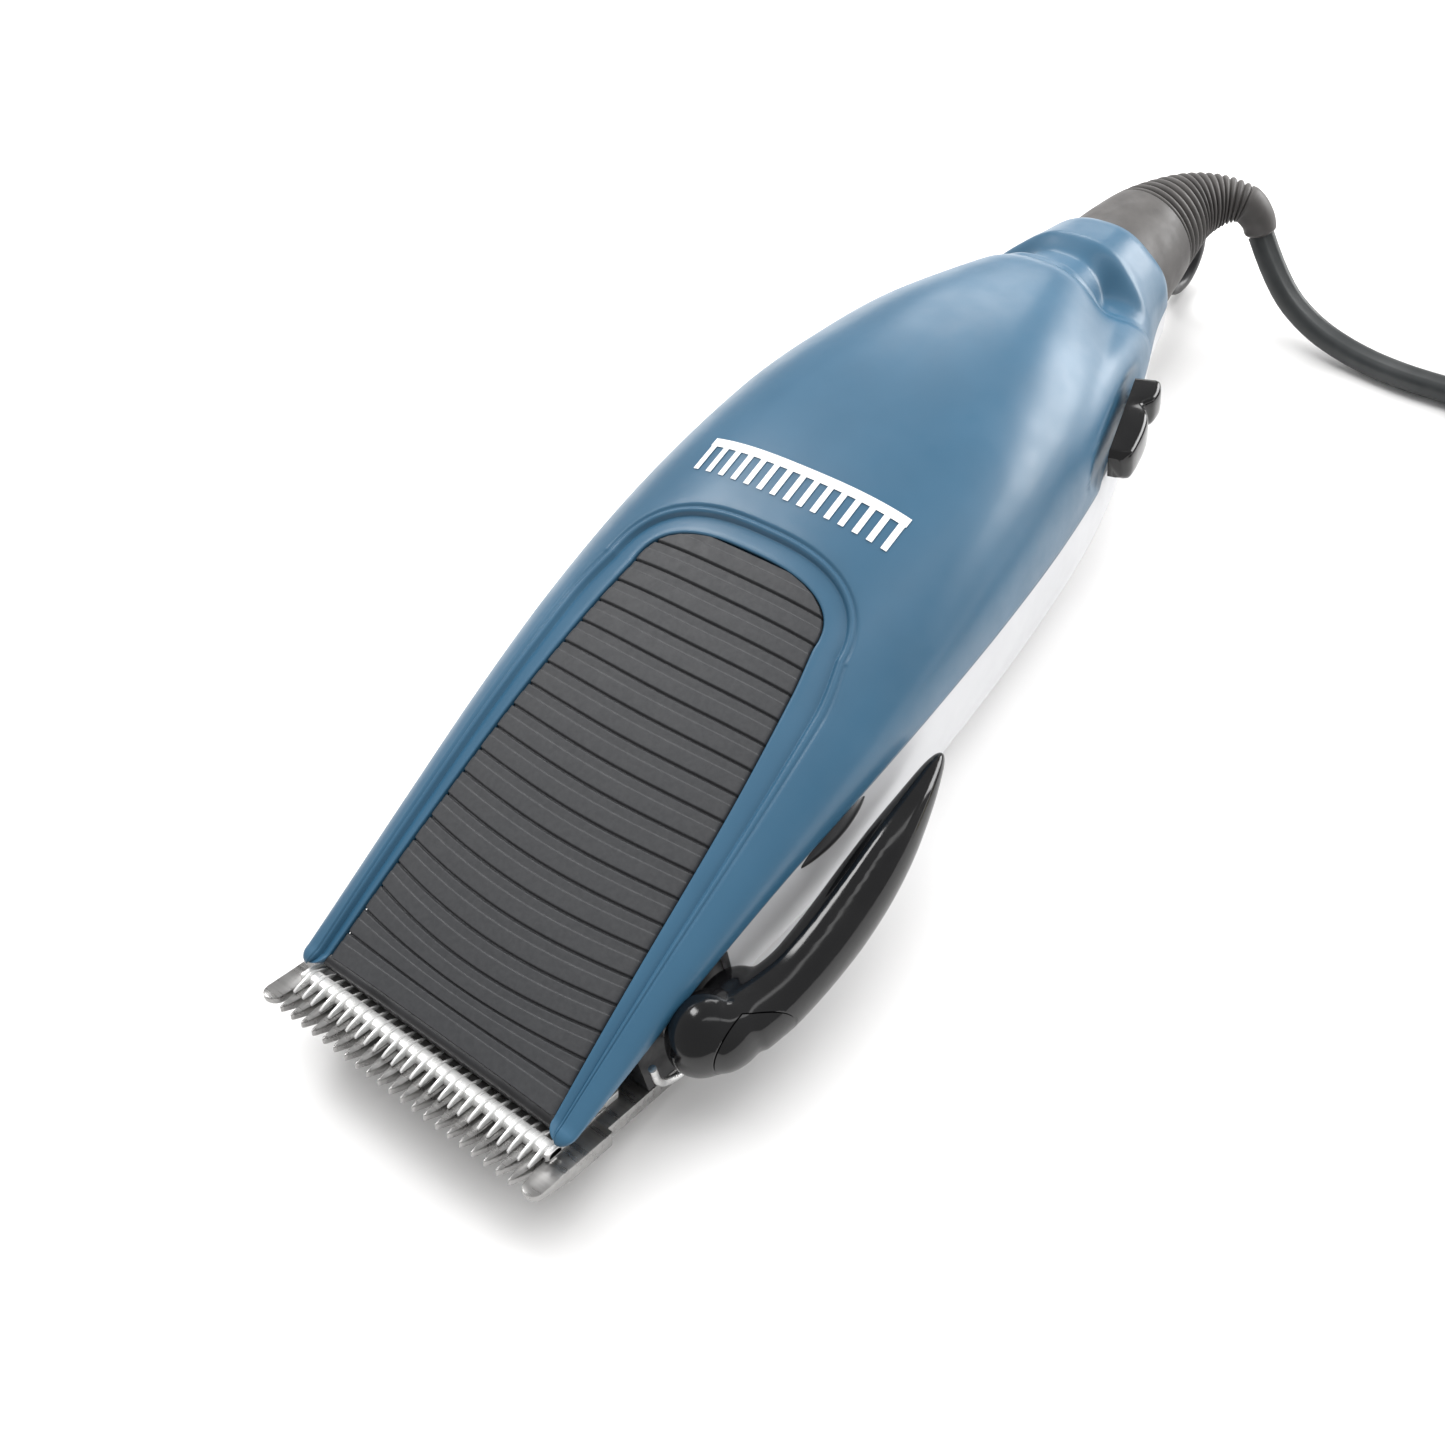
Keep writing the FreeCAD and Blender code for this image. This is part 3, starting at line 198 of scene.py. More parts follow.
def extruded(name, outline, low, high, put, bevel=0.0, segments=2):
    """An outline of (a, b) points raised from low to high, its edges rounded off."""
    count = len(outline)
    verts = [put(a, b, low) for a, b in outline] + [put(a, b, high) for a, b in outline]
    faces = [tuple(reversed(range(count))), tuple(range(count, 2 * count))]
    for k in range(count):
        m = (k + 1) % count
        faces.append((k, m, count + m, count + k))
    obj = mesh_object(name, verts, faces, SHARP_ANGLE)
    if bevel:
        modifier = obj.modifiers.new("rounded_edges", "BEVEL")
        modifier.width = bevel * MM
        modifier.segments = segments
        modifier.limit_method = "ANGLE"
        modifier.angle_limit = math.radians(SHARP_ANGLE)
        modifier.harden_normals = False
        apply_modifiers(obj)
    return obj


def apply_modifiers(obj):
    """Swaps an object's mesh for what its modifiers make of it."""
    bpy.context.view_layer.update()
    evaluated = obj.evaluated_get(bpy.context.evaluated_depsgraph_get())
    mesh = bpy.data.meshes.new_from_object(evaluated)
    obj.modifiers.clear()
    obj.data = mesh
    return obj


def joined(name, objs):
    """One object out of several, in the first one's place."""
    verts, faces = [], []
    for obj in objs:
        base = len(verts)
        verts += [v.co.copy() for v in obj.data.vertices]
        faces += [tuple(base + i for i in p.vertices) for p in obj.data.polygons]
        bpy.data.objects.remove(obj)
    return mesh_object(name, verts, faces, SHARP_ANGLE)


def loft_rings(name, rings, cap_first=True, cap_last=True, sharp_angle=None):
    """A solid through rings of points, closed at its ends unless told otherwise."""
    return grid_object(name, rings, True, cap_first, cap_last, sharp_angle)


def ring_points(centre, across, up, wide, high, count, power=2.0, put=place):
    """Points of a superellipse round centre, in the frame's metres."""
    points = []
    for k in range(count):
        a = 2 * math.pi * k / count
        c, s = math.cos(a), math.sin(a)
        x = math.copysign(abs(c) ** (2 / power), c) * wide
        z = math.copysign(abs(s) ** (2 / power), s) * high
        points.append(put(*(centre + across * x + up * z)))
    return points


def finish_piece(obj, body, slot, *replaced, material=None):
    """Gives a piece its body and its material, the slot's one unless another is given, and hides
    the nodes it stands for.
    """
    obj.data.materials.clear()
    obj.data.materials.append(material or MATERIALS[slot])
    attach(obj, body)
    if replaced:
        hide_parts(*replaced)
    return obj


# ---------------------------------------------------------------- materials
class Shader:
    """A Principled material under construction, with noise in the object's own space."""

    def __init__(self, name, roughness=0.5, metallic=0.0, **sockets):
        self.material = bpy.data.materials.new(name)
        self.material.use_nodes = True
        self.nodes = self.material.node_tree.nodes
        self.links = self.material.node_tree.links
        self.base = self.nodes["Principled BSDF"]
        self.base.inputs["Roughness"].default_value = roughness
        self.base.inputs["Metallic"].default_value = metallic
        for socket, value in sockets.items():
            self.base.inputs[socket.replace("_", " ")].default_value = value
        self.space = self.nodes.new("ShaderNodeTexCoord").outputs["Object"]
        self.height = None

    def stretched(self, scale, turn=(0, 0, 0)):
        node = self.nodes.new("ShaderNodeMapping")
        node.inputs["Scale"].default_value = scale
        node.inputs["Rotation"].default_value = turn
        self.links.new(self.space, node.inputs["Vector"])
        return node.outputs["Vector"]

    def noise(self, scale, detail=4.0, roughness=0.55, vector=None):
        node = self.nodes.new("ShaderNodeTexNoise")
        node.inputs["Scale"].default_value = scale
        node.inputs["Detail"].default_value = detail
        node.inputs["Roughness"].default_value = roughness
        self.links.new(vector or self.space, node.inputs["Vector"])
        return node.outputs["Fac"]

    def ramp(self, value, stops):
        node = self.nodes.new("ShaderNodeValToRGB")
        elements = node.color_ramp.elements
        elements[0].position, elements[0].color = stops[0][0], (*stops[0][1], 1)
        elements[1].position, elements[1].color = stops[-1][0], (*stops[-1][1], 1)
        for position, color in stops[1:-1]:
            elements.new(position).color = (*color, 1)
        self.links.new(value, node.inputs["Fac"])
        return node.outputs["Color"]

    def color(self, value, dark, light, low=0.35, high=0.65):
        self.links.new(self.ramp(value, [(low, dark), (high, light)]),
                       self.base.inputs["Base Color"])

    def gloss(self, value, low, high):
        node = self.nodes.new("ShaderNodeMapRange")
        node.inputs["From Min"].default_value = 0.35
        node.inputs["From Max"].default_value = 0.65
        node.inputs["To Min"].default_value = low
        node.inputs["To Max"].default_value = high
        self.links.new(value, node.inputs["Value"])
        self.links.new(node.outputs["Result"], self.base.inputs["Roughness"])

    def bump(self, value, strength, distance):
        node = self.nodes.new("ShaderNodeBump")
        node.inputs["Strength"].default_value = strength
        node.inputs["Distance"].default_value = distance * MM
        self.links.new(value, node.inputs["Height"])
        if self.height is not None:
            self.links.new(self.height, node.inputs["Normal"])
        self.height = node.outputs["Normal"]
        self.links.new(self.height, self.base.inputs["Normal"])


def blue_paint():
    s = Shader("blue_satin_shell", 0.4, IOR=1.5, Coat_Weight=0.3, Coat_Roughness=0.24)
    s.color(s.noise(45, 3), (0.024, 0.089, 0.156), (0.030, 0.104, 0.180))
    s.gloss(s.noise(260, 3), 0.38, 0.46)
    s.bump(s.noise(5200, 2), 0.10, 0.03)
    return s.material


def grip_rubber():
    s = Shader("charcoal_grip_rubber", 0.6, IOR=1.45)
    s.color(s.noise(1500, 3), (0.040, 0.041, 0.044), (0.048, 0.049, 0.052))
    s.gloss(s.noise(600, 3), 0.46, 0.54)
    s.bump(s.noise(6000, 2), 0.3, 0.03)
    return s.material


def grey_plastic():
    s = Shader("light_grey_plastic", 0.5)
    s.color(s.noise(60, 3), (0.57, 0.575, 0.59), (0.62, 0.625, 0.64))
    s.gloss(s.noise(400, 3), 0.42, 0.52)
    s.bump(s.noise(3500, 2), 0.1, 0.02)
    return s.material


def gloss_black():
    s = Shader("gloss_black_plastic", 0.14, IOR=1.5)
    s.color(s.noise(120, 3), (0.003, 0.003, 0.0035), (0.006, 0.006, 0.0065))
    s.gloss(s.noise(180, 4), 0.08, 0.17)
    s.bump(s.noise(900, 3), 0.03, 0.02)
    return s.material


def satin_black():
    s = Shader("satin_black_plastic", 0.4)
    s.color(s.noise(200, 3), (0.012, 0.012, 0.013), (0.022, 0.022, 0.024))
    s.gloss(s.noise(500, 3), 0.32, 0.45)
    s.bump(s.noise(3000, 2), 0.1, 0.02)
    return s.material


def ground_steel():
    s = Shader("ground_blade_steel", 0.3, 0.9)
    along = s.noise(900, 4, 0.6, s.stretched((0.08, 1, 1)))
    s.color(along, (0.29, 0.285, 0.28), (0.36, 0.355, 0.35))
    s.gloss(along, 0.24, 0.36)
    s.bump(along, 0.04, 0.01)
    return s.material


def reflection_painted_steel():
    # Nearly white and half diffuse: a painted reflection, so the cutter's ridge, fins and legs
    # light up like polished steel mirroring a bright lamp.
    s = Shader("cutter_steel_painted_reflection", 0.3, 0.5)
    across = s.noise(700, 4, 0.6, s.stretched((1, 0.1, 0.1)))
    s.color(across, (0.84, 0.84, 0.83), (0.95, 0.95, 0.94))
    s.gloss(across, 0.22, 0.34)
    s.bump(across, 0.04, 0.01)
    return s.material


def screw_steel():
    s = Shader("zinc_screw_steel", 0.3, 1.0)
    s.color(s.noise(700, 4), (0.48, 0.48, 0.49), (0.66, 0.66, 0.66))
    s.gloss(s.noise(900, 3), 0.24, 0.38)
    return s.material


def spring_wire():
    s = Shader("drawn_spring_wire", 0.25, 1.0)
    s.color(s.noise(800, 3), (0.55, 0.55, 0.55), (0.72, 0.72, 0.71))
    s.gloss(s.noise(900, 3), 0.18, 0.3)
    return s.material


def lamination_steel():
    s = Shader("laminated_core_steel", 0.45, 1.0)
    layers = s.noise(30, 2, 0.5, s.stretched((0.2, 0.2, 60)))
    s.color(layers, (0.20, 0.20, 0.21), (0.40, 0.40, 0.41))
    s.bump(layers, 0.4, 0.1)
    return s.material


def copper_wire():
    s = Shader("enamelled_copper_winding", 0.3, 1.0)
    turns = s.noise(40, 2, 0.5, s.stretched((70, 0.3, 0.3)))
    s.color(turns, (0.50, 0.20, 0.09), (0.78, 0.36, 0.18))
    s.bump(turns, 0.5, 0.1)
    return s.material


def pale_plastic(name, dark, light):
    s = Shader(name, 0.45)
    s.color(s.noise(150, 3), dark, light)
    s.gloss(s.noise(350, 3), 0.38, 0.5)
    return s.material


def relief_rubber():
    s = Shader("grey_relief_rubber", 0.55)
    s.color(s.noise(250, 4), (0.060, 0.056, 0.054), (0.080, 0.075, 0.072))
    s.gloss(s.noise(400, 3), 0.48, 0.6)
    s.bump(s.noise(2500, 2), 0.15, 0.03)
    return s.material


def cord_rubber():
    s = Shader("dark_cord_rubber", 0.42)
    s.color(s.noise(200, 4), (0.020, 0.023, 0.024), (0.032, 0.035, 0.036))
    s.gloss(s.noise(300, 3), 0.36, 0.48)
    s.bump(s.noise(1800, 2), 0.12, 0.03)
    return s.material


def pin_brass():
    s = Shader("plug_pin_brass", 0.25, 1.0)
    s.color(s.noise(300, 4), (0.67, 0.57, 0.32), (0.72, 0.62, 0.355))
    s.gloss(s.noise(500, 3), 0.2, 0.32)
    return s.material


def print_white():
    s = Shader("white_print", 0.45)
    s.color(s.noise(500, 3), (0.78, 0.80, 0.80), (0.86, 0.88, 0.88))
    s.gloss(s.noise(700, 3), 0.4, 0.5)
    return s.material


def floor_white():
    s = Shader("studio_floor", 0.7)
    s.color(s.noise(2, 2), (0.86, 0.855, 0.85), (0.89, 0.885, 0.88))
    s.gloss(s.noise(5, 2), 0.65, 0.75)
    return s.material


MATERIALS = {
    "blue_shell": blue_paint(),
    "charcoal_rubber": grip_rubber(),
    "grey_shell": grey_plastic(),
    "black_plastic": gloss_black(),
    "frame_plastic": satin_black(),
    "blade_steel": ground_steel(),
    "screw_steel": screw_steel(),
    "spring_steel": spring_wire(),
    "core_steel": lamination_steel(),
    "winding": copper_wire(),
    "bobbin_plastic": pale_plastic("natural_nylon", (0.62, 0.58, 0.48), (0.72, 0.68, 0.58)),
    "white_plastic": pale_plastic("white_acetal", (0.74, 0.74, 0.72), (0.82, 0.82, 0.80)),
    "cord_rubber": cord_rubber(),
    "pin_brass": pin_brass(),
}
for entry in frame["record"]["subparts"]:
    for slot in nodes[entry["node"]].material_slots:
        slot.material = MATERIALS[entry["material_slot"]]


# ---------------------------------------------------------------- casing surface
def dome(phi, y, lift=0.0):
    """A point of the dome: phi runs from the +X seam over the top to the -X seam."""
    half = curve_value(HALF, y)
    seam = curve_value(SEAM, y)
    rise = curve_value(TOP, y) - seam
    power = 2 / DOME_POWER
    c, s = math.cos(phi), max(math.sin(phi), 0.0)
    point = Vector((math.copysign(abs(c) ** power, c) * half, y, seam + rise * s**power))
    if lift:
        point += dome_normal(phi, y) * lift
    return point


def dome_normal(phi, y):
    """The direction straight out of the dome, from four points close by."""
    step = 0.02
    low = min(max(phi - step, 0.002), math.pi - 0.002)
    high = max(min(phi + step, math.pi - 0.002), 0.002)
    round_way = dome(high, y) - dome(low, y)
    long_way = dome(phi, y + 0.5) - dome(phi, y - 0.5)
    return long_way.cross(round_way).normalized()


def phi_at(x, y):
    """Where on the dome a point seen from above lies."""
    share = min(abs(x) / curve_value(HALF, y), 1.0)
    phi = math.acos(min(share ** (DOME_POWER / 2), 1.0))
    return phi if x >= 0 else math.pi - phi


# The panel's sides: distance from the tooth tips, half width. Its round end is superelliptic.
PANEL_HALF = [(8.6, 18.7), (25.0, 18.0), (45.0, 17.0), (60.0, 15.4), (66.0, 14.3)]
PANEL_POWER = 2.7


def panel_side():
    """The right half of the panel's outline seen from above, front to top."""
    points = [(curve_value(PANEL_HALF, y), y) for y in
              (ARM_START + (PANEL_SIDE_END - ARM_START) * k / 80 for k in range(81))]
    wide = points[-1][0]
    deep = PANEL_END - PANEL_SIDE_END
    for k in range(1, 61):
        a = math.pi / 2 * k / 60
        points.append((wide * math.cos(a) ** (2 / PANEL_POWER),
                       PANEL_SIDE_END + deep * math.sin(a) ** (2 / PANEL_POWER)))
    return points


CREST_TOP = 139.0  # where the dome ends, on its ridge
CREST_SWEEP = 5.5  # how much further back it ends at the seam
FLARE_TOP = 149.7  # where the flare behind the scoop begins, on the ridge
FLARE_SWEEP = 4.5  # how much further forward it begins at the seam


def crest(phi):
    """Where the dome ends in a rounded crest before the tail's scoop."""
    return CREST_TOP + CREST_SWEEP * (1 - math.sin(phi)) ** 0.95


def flare_edge(phi):
    """Where the flare behind the scoop begins."""
    return FLARE_TOP - FLARE_SWEEP * (1 - math.sin(phi))


SCOOP_DEPTH = 2.0
CREST_DROP = 0.8  # how far the dome rounds off at its crest
CREST_ROUND = 3.6  # over which length
SWITCH_DEPTH = 1.2


def scoop_fade(phi):
    """1 on top of the dome, falling to 0 down its sides."""
    return smooth((math.sin(phi) - 0.2) / 0.75)


SWITCH_X, SWITCH_Y, SWITCH_Z = 21.9, 126.3, 22.3
SWITCH_TURN = math.radians(16.6)  # how far the casing's side turns inward there


def switch_place(out, back, up):
    """A point in the switch's own frame: out of the casing, back along it and up."""
    x = SWITCH_X + out * math.cos(SWITCH_TURN) - back * math.sin(SWITCH_TURN)
    y = SWITCH_Y + out * math.sin(SWITCH_TURN) + back * math.cos(SWITCH_TURN)
    return Vector((x, y, SWITCH_Z + up))


def switch_reach(point):
    """0 in the middle of the switch's recess, 1 at its edge."""
    dx, dy = point.x - SWITCH_X, point.y - SWITCH_Y
    back = dy * math.cos(SWITCH_TURN) - dx * math.sin(SWITCH_TURN)
    return ((back + 1.0) / 12.6) ** 2 + ((point.z - SWITCH_Z - 0.4) / 4.9) ** 2


SLIM_START = 100.0
SLIMMING = [
    # distance from the tooth tips, how far the dome's shoulders stand in
    (98.0, 0.0), (100.0, 0.0), (106.0, 0.2), (112.0, 0.5), (119.0, 0.75), (125.0, 1.1),
    (131.0, 1.7), (136.5, 2.6), (141.0, 3.2), (146.0, 3.4), (149.0, 1.5), (152.0, 1.1),
    (162.0, 0.9),
]


def slim(phi, y, switch_side=True):
    """The tail's shoulders are slimmer than the dome's, away from the switch."""
    if y < SLIM_START:
        return 0.0
    ahead = FLARE_SWEEP * (1 - math.sin(phi)) * smooth((y - 136) / 8)
    depth = curve_value(SLIMMING, y + ahead) * math.sin(2 * phi) ** 2
    point = dome(phi, y)
    if switch_side and point.x > 0:
        depth *= smooth((switch_reach(point) - 0.6) / 2.6)
    return depth


def dome_lift(phi, y, switch_side):
    """What moves the dome in or out of its plain shape, away from the panel."""
    lift = -slim(phi, y, switch_side)
    gap = crest(phi) - y
    if gap < CREST_ROUND:
        lift -= CREST_DROP * scoop_fade(phi) * (1 - max(gap, 0) / CREST_ROUND) ** 2.2
    point = dome(phi, y)
    if switch_side and point.x > 0:
        lift -= SWITCH_DEPTH * smooth((1 - switch_reach(point)) * 1.7)
    return lift


BEZEL = [
    # distance from the panel's edge, height above the plain dome
    (0.0, -1.45), (0.0, -0.95), (0.05, -0.80), (0.16, -0.70), (0.4, -0.66), (1.2, -0.70),
    (2.2, -0.76), (3.0, -0.82), (3.3, -0.88), (3.42, -0.90), (3.52, -0.84), (3.68, -0.42),
    (3.85, -0.24), (4.15, -0.14), (4.4, -0.14), (4.62, -0.24), (4.74, -0.26), (4.9, -0.10),
    (5.15, 0.0), (5.4, 0.02),
]


BEZEL_WIDTH = BEZEL[-1][0]
BEZEL_MOST = 0.97  # the bezel's largest scale at the panel's sides, and at its end
BEZEL_AT_END = 0.78
BEZEL_TURN = 60.0  # where it starts to follow the panel's round end
SHELL_ROWS = 170
SEAM_ROWS = 130  # of these, how many end at the seam and not at the crest
SHELL_STEPS = 48  # from the bezel out to the seam or the crest
PHI_SPREAD = 25.0  # millimetres that one radian of phi counts for when rows are spaced


def bezel_scale(edge):
    """The bezel's width at a point of the panel's edge: it narrows where room is short."""
    turn_room = curve_value(HALF, BEZEL_TURN) - curve_value(PANEL_HALF, BEZEL_TURN)
    if edge.y < BEZEL_TURN:
        return min(BEZEL_MOST, 0.5 * (curve_value(HALF, edge.y) - edge.x) / BEZEL_WIDTH)
    side = min(BEZEL_MOST, 0.5 * turn_room / BEZEL_WIDTH)
    rounding = smooth((edge.y - BEZEL_TURN) / (PANEL_END - BEZEL_TURN))
    return side + (BEZEL_AT_END - side) * rounding


def shell_border():
    """The right half of the shell's outer border as (phi, y) points: the seam, the crest."""
    seam = [Vector((0.0, ARM_START + (crest(0.0) - ARM_START) * k / 200)) for k in range(201)]
    rise = [Vector((math.pi / 2 * k / 60 * PHI_SPREAD, crest(math.pi / 2 * k / 60)))
            for k in range(1, 61)]
    return [Vector((p.x / PHI_SPREAD, p.y)) for p in resample(seam + rise, SHELL_ROWS)]


def arm_tip(first_row):
    """Rows that round off the arm's front end, from its tip to the first row."""
    middle_x, middle_z = 20.6, 12.6
    rows = []
    for m in range(8, 0, -1):
        a = math.pi / 2 * m / 8
        row = []
        for point in first_row:
            middle = Vector((middle_x, point.y, middle_z))
            spot = middle.lerp(point, max(math.cos(a), 0.02))
            spot.y = point.y - (ARM_START - ARM_END) * math.sin(a)
            row.append(spot)
        rows.append(row)
    return rows


def shell_half(switch_side):
    """Half of the shell, as on the switch's side or without its recess."""
    inner = resample(panel_side(), SHELL_ROWS)
    rows = []
    for k, (edge, far) in enumerate(zip(inner, shell_border())):
        if k == 0:
            along = Vector((0, 1))
        elif k == SHELL_ROWS - 1:
            along = Vector((-1, 0))
        else:
            along = (inner[k + 1] - inner[k - 1]).normalized()
        away = Vector((along.y, -along.x))
        scale = bezel_scale(edge)
        row = []
        for distance, lift in BEZEL:
            spot = edge + away * distance * scale
            start_phi, start_y = phi_at(spot.x, spot.y), spot.y
            row.append(dome(start_phi, start_y, lift))
        for j in range(1, SHELL_STEPS + 1):
            t = j / SHELL_STEPS
            phi = start_phi + (far.x - start_phi) * t
            y = start_y + (far.y - start_y) * t
            row.append(dome(phi, y, dome_lift(phi, y, switch_side)))
        last = row[-1]
        if k < SEAM_ROWS:
            row.append(Vector((last.x * 0.976, last.y, last.z - 0.05)))
        else:
            row.append(Vector((last.x * 0.9, last.y - 0.2, last.z - 0.9)))
        rows.append(row)
    return arm_tip(rows[0]) + rows


def shell_top():
    """The blue shell round the panel: a band that follows the panel's outline, then the
    dome out to the seam and back to the crest, with the two front arms rounded off."""
    left = [[Vector((-p.x, p.y, p.z)) for p in row] for row in reversed(shell_half(False))]
    return grid_object("shell_top", [[place(*p) for p in row]
                                     for row in shell_half(True) + left[1:]])


COLLAR_STEPS = 60
COLLAR_LIP = [
    # the lip turned in round the strain relief: share of the way to the middle, and forward
    (0.066, 0.0), (0.12, 0.15), (0.12, 1.6),
]
RELIEF_HEIGHT = 18.6  # of the strain relief's middle where it leaves the collar


def tail_collar():
    """The scoop behind the crest and the flare that meets the strain relief."""
    rows = []
    for i in range(COLLAR_STEPS + 1 + len(COLLAR_LIP)):
        t = min(i / COLLAR_STEPS, 1.0)
        row = []
        for j in range(121):
            phi = math.pi * j / 120
            fade = scoop_fade(phi)
            start = crest(phi)
            if t <= 0.8:
                s = t / 0.8
                y = start + (COLLAR_START - start) * s
                e = (y - start) / (flare_edge(phi) - start)
                hollow = SCOOP_DEPTH * smooth(e / 0.3) * (1 - smooth((e - 0.62) / 0.38))
                lift = -fade * (CREST_DROP * (1 - smooth(s / 0.15)) + hollow) - slim(phi, y)
            else:
                s = (t - 0.8) / 0.2
                y = COLLAR_START + (COLLAR_END - COLLAR_START) * s
                lift = -0.35 * max(0, (s - 0.75) / 0.25) ** 2 - slim(phi, y)
            point = dome(phi, y, lift)
            if i > COLLAR_STEPS:
                inward, forward = COLLAR_LIP[i - COLLAR_STEPS - 1]
                point = point.lerp(Vector((0, point.y, RELIEF_HEIGHT)), inward)
                point.y -= forward
            row.append(place(*point))
        rows.append(row)
    return grid_object("tail_collar", rows, sharp_angle=40)


def panel_width(y):
    """Half the panel's width at y."""
    if y <= PANEL_SIDE_END:
        return curve_value(PANEL_HALF, y)
    share = min((y - PANEL_SIDE_END) / (PANEL_END - PANEL_SIDE_END), 1.0)
    return PANEL_HALF[-1][1] * (1 - share**PANEL_POWER) ** (1 / PANEL_POWER)


RIBS = 20
RIB_SAG = 2.6  # how far a rib's middle stands in front of its ends
PANEL_SINK = 0.72  # of the panel's face, under the plain dome
RIB_PROFILE = [
    # share of the way from one deep groove to the next, height
    (0.0, -0.45), (0.04, -0.45), (0.05, -0.42), (0.085, -0.04), (0.10, 0.0), (0.13, 0.0),
    (0.35, 0.01), (0.59, 0.0), (0.61, 0.0), (0.625, -0.02), (0.64, -0.07), (0.66, -0.08),
    (0.69, -0.08), (0.80, -0.06), (0.93, -0.05), (0.95, -0.05), (0.965, -0.09), (0.99, -0.42),
]


def grip():
    """The ribbed rubber panel, with its deep grooves and the faint steps between them."""
    front = ARM_START + 0.1
    end = PANEL_END - 0.15
    levels = []
    for rib in range(RIBS):
        for share, height in RIB_PROFILE:
            levels.append(((rib + share) / RIBS, height if rib or share > 0.12 else 0.0))
    levels.append((0.9985, 0.0))
    rows = []
    for t, height in levels:
        y_edge = front + (end - front) * t
        sag = -RIB_SAG * (1 - t) ** 1.1 * smooth(t / 0.17)
        row = []
        for j in range(73):
            s = -1 + 2 * j / 72
            s = math.copysign(abs(s) ** 0.9, s)
            y = y_edge + sag * (1 - s * s)
            x = s * max(panel_width(y_edge) - 0.12, 0.3)
            edge_drop = -0.3 * smooth((abs(s) - 0.975) / 0.025)
            row.append(place(*dome(phi_at(x, y), y, height - PANEL_SINK + edge_drop)))
        skirt = Vector((0, 0, -1.8 * MM))
        row = [row[0] + skirt] + row + [row[-1] + skirt]
        rows.append(row)
    lip = [p - Vector((0, 0, 0.9 * MM)) for p in rows[0]]
    return grid_object("grip_ribbed", [lip] + rows, sharp_angle=50)


def front_cover():
    """The rounded black edge of the housing that shows between the arms, over the blade."""
    # forward of the arms' start, and down from the dome or, for None, down to the cutter
    profile = [(0.6, -0.75), (0.15, -0.76), (-0.2, -0.84), (-0.45, -1.05), (-0.58, -1.35),
               (-0.6, -1.6), (-0.57, -1.8), (-0.55, None), (2.6, None)]
    rows = []
    for forward, drop in profile:
        row = []
        for j in range(61):
            x = 19.0 * (-1 + 2 * j / 60)
            top = dome(phi_at(x, ARM_START), ARM_START).z
            z = 11.3 - 0.33 * max(forward, 0) if drop is None else top + drop
            row.append(place(x, ARM_START + forward, z))
        rows.append(row)
    return grid_object("front_cover", rows, sharp_angle=50)


finish_piece(shell_top(), "casing", "blue_shell", "upper_housing")
finish_piece(tail_collar(), "casing", "blue_shell")
finish_piece(grip(), "casing", "charcoal_rubber", "grip_panel")
finish_piece(front_cover(), "casing", "frame_plastic")


# ---------------------------------------------------------------- printed mark
MARK_TEETH = 15
MARK_FIRST = -14.4
MARK_PITCH = 2.06


def printed_mark():
    """A plain comb pictogram, printed across the shell."""
    bars = [((-15.0, 84.6), (15.0, 85.9))]  # the comb's back, then its teeth
    for k in range(MARK_TEETH):
        x = MARK_FIRST + k * MARK_PITCH
        bars.append(((x - 0.42, 80.6), (x + 0.42, 84.7)))
    pieces = []
    for k, ((x0, y0), (x1, y1)) in enumerate(bars):
        steps = 30 if k == 0 else 1
        rows = []
        for i in range(steps + 1):
            x = x0 + (x1 - x0) * i / steps
            rows.append([place(*dome(phi_at(x, y), y, 0.12)) for y in
                         (y0 + (y1 - y0) * j / 4 for j in range(5))])
        pieces.append(grid_object(f"mark_{k}", rows))
    return joined("printed_mark", pieces)


finish_piece(printed_mark(), "casing", "blue_shell", material=print_white())


# ---------------------------------------------------------------- blades
FIXED_PITCH = 1.9
FIXED_TEETH = 21
CUTTER_PITCH = 1.56
CUTTER_TEETH = 26
BLADE_SCREW_X = 9.0
BLADE_SCREW_V = 25.0
SCREW_SINK = [(-0.3, 3.02), (0.05, 3.02), (1.4, 1.65), (2.6, 1.65)]  # height, radius


def boolean(obj, tool, operation):
    """Cuts obj with a tool, or keeps what they share, and removes the tool."""
    modifier = obj.modifiers.new("trim", "BOOLEAN")
    modifier.operation = operation
    modifier.object = tool
    modifier.solver = "EXACT"
    apply_modifiers(obj)
    bpy.data.objects.remove(tool)
    return obj


def blade_solid(name, outline, high, low=0.0, ground=False, bevel=0.1):
    """A plate in the blade frame. A ground one gets thinner from below towards the tips."""
    def put(x, v, level):
        under = low + 1.4 * max(0.0, 1 - v / 5.9) if ground else low
        return blade_place(x, v, high if level else under)
    return extruded(name, outline, 0, 1, put, bevel, 2)


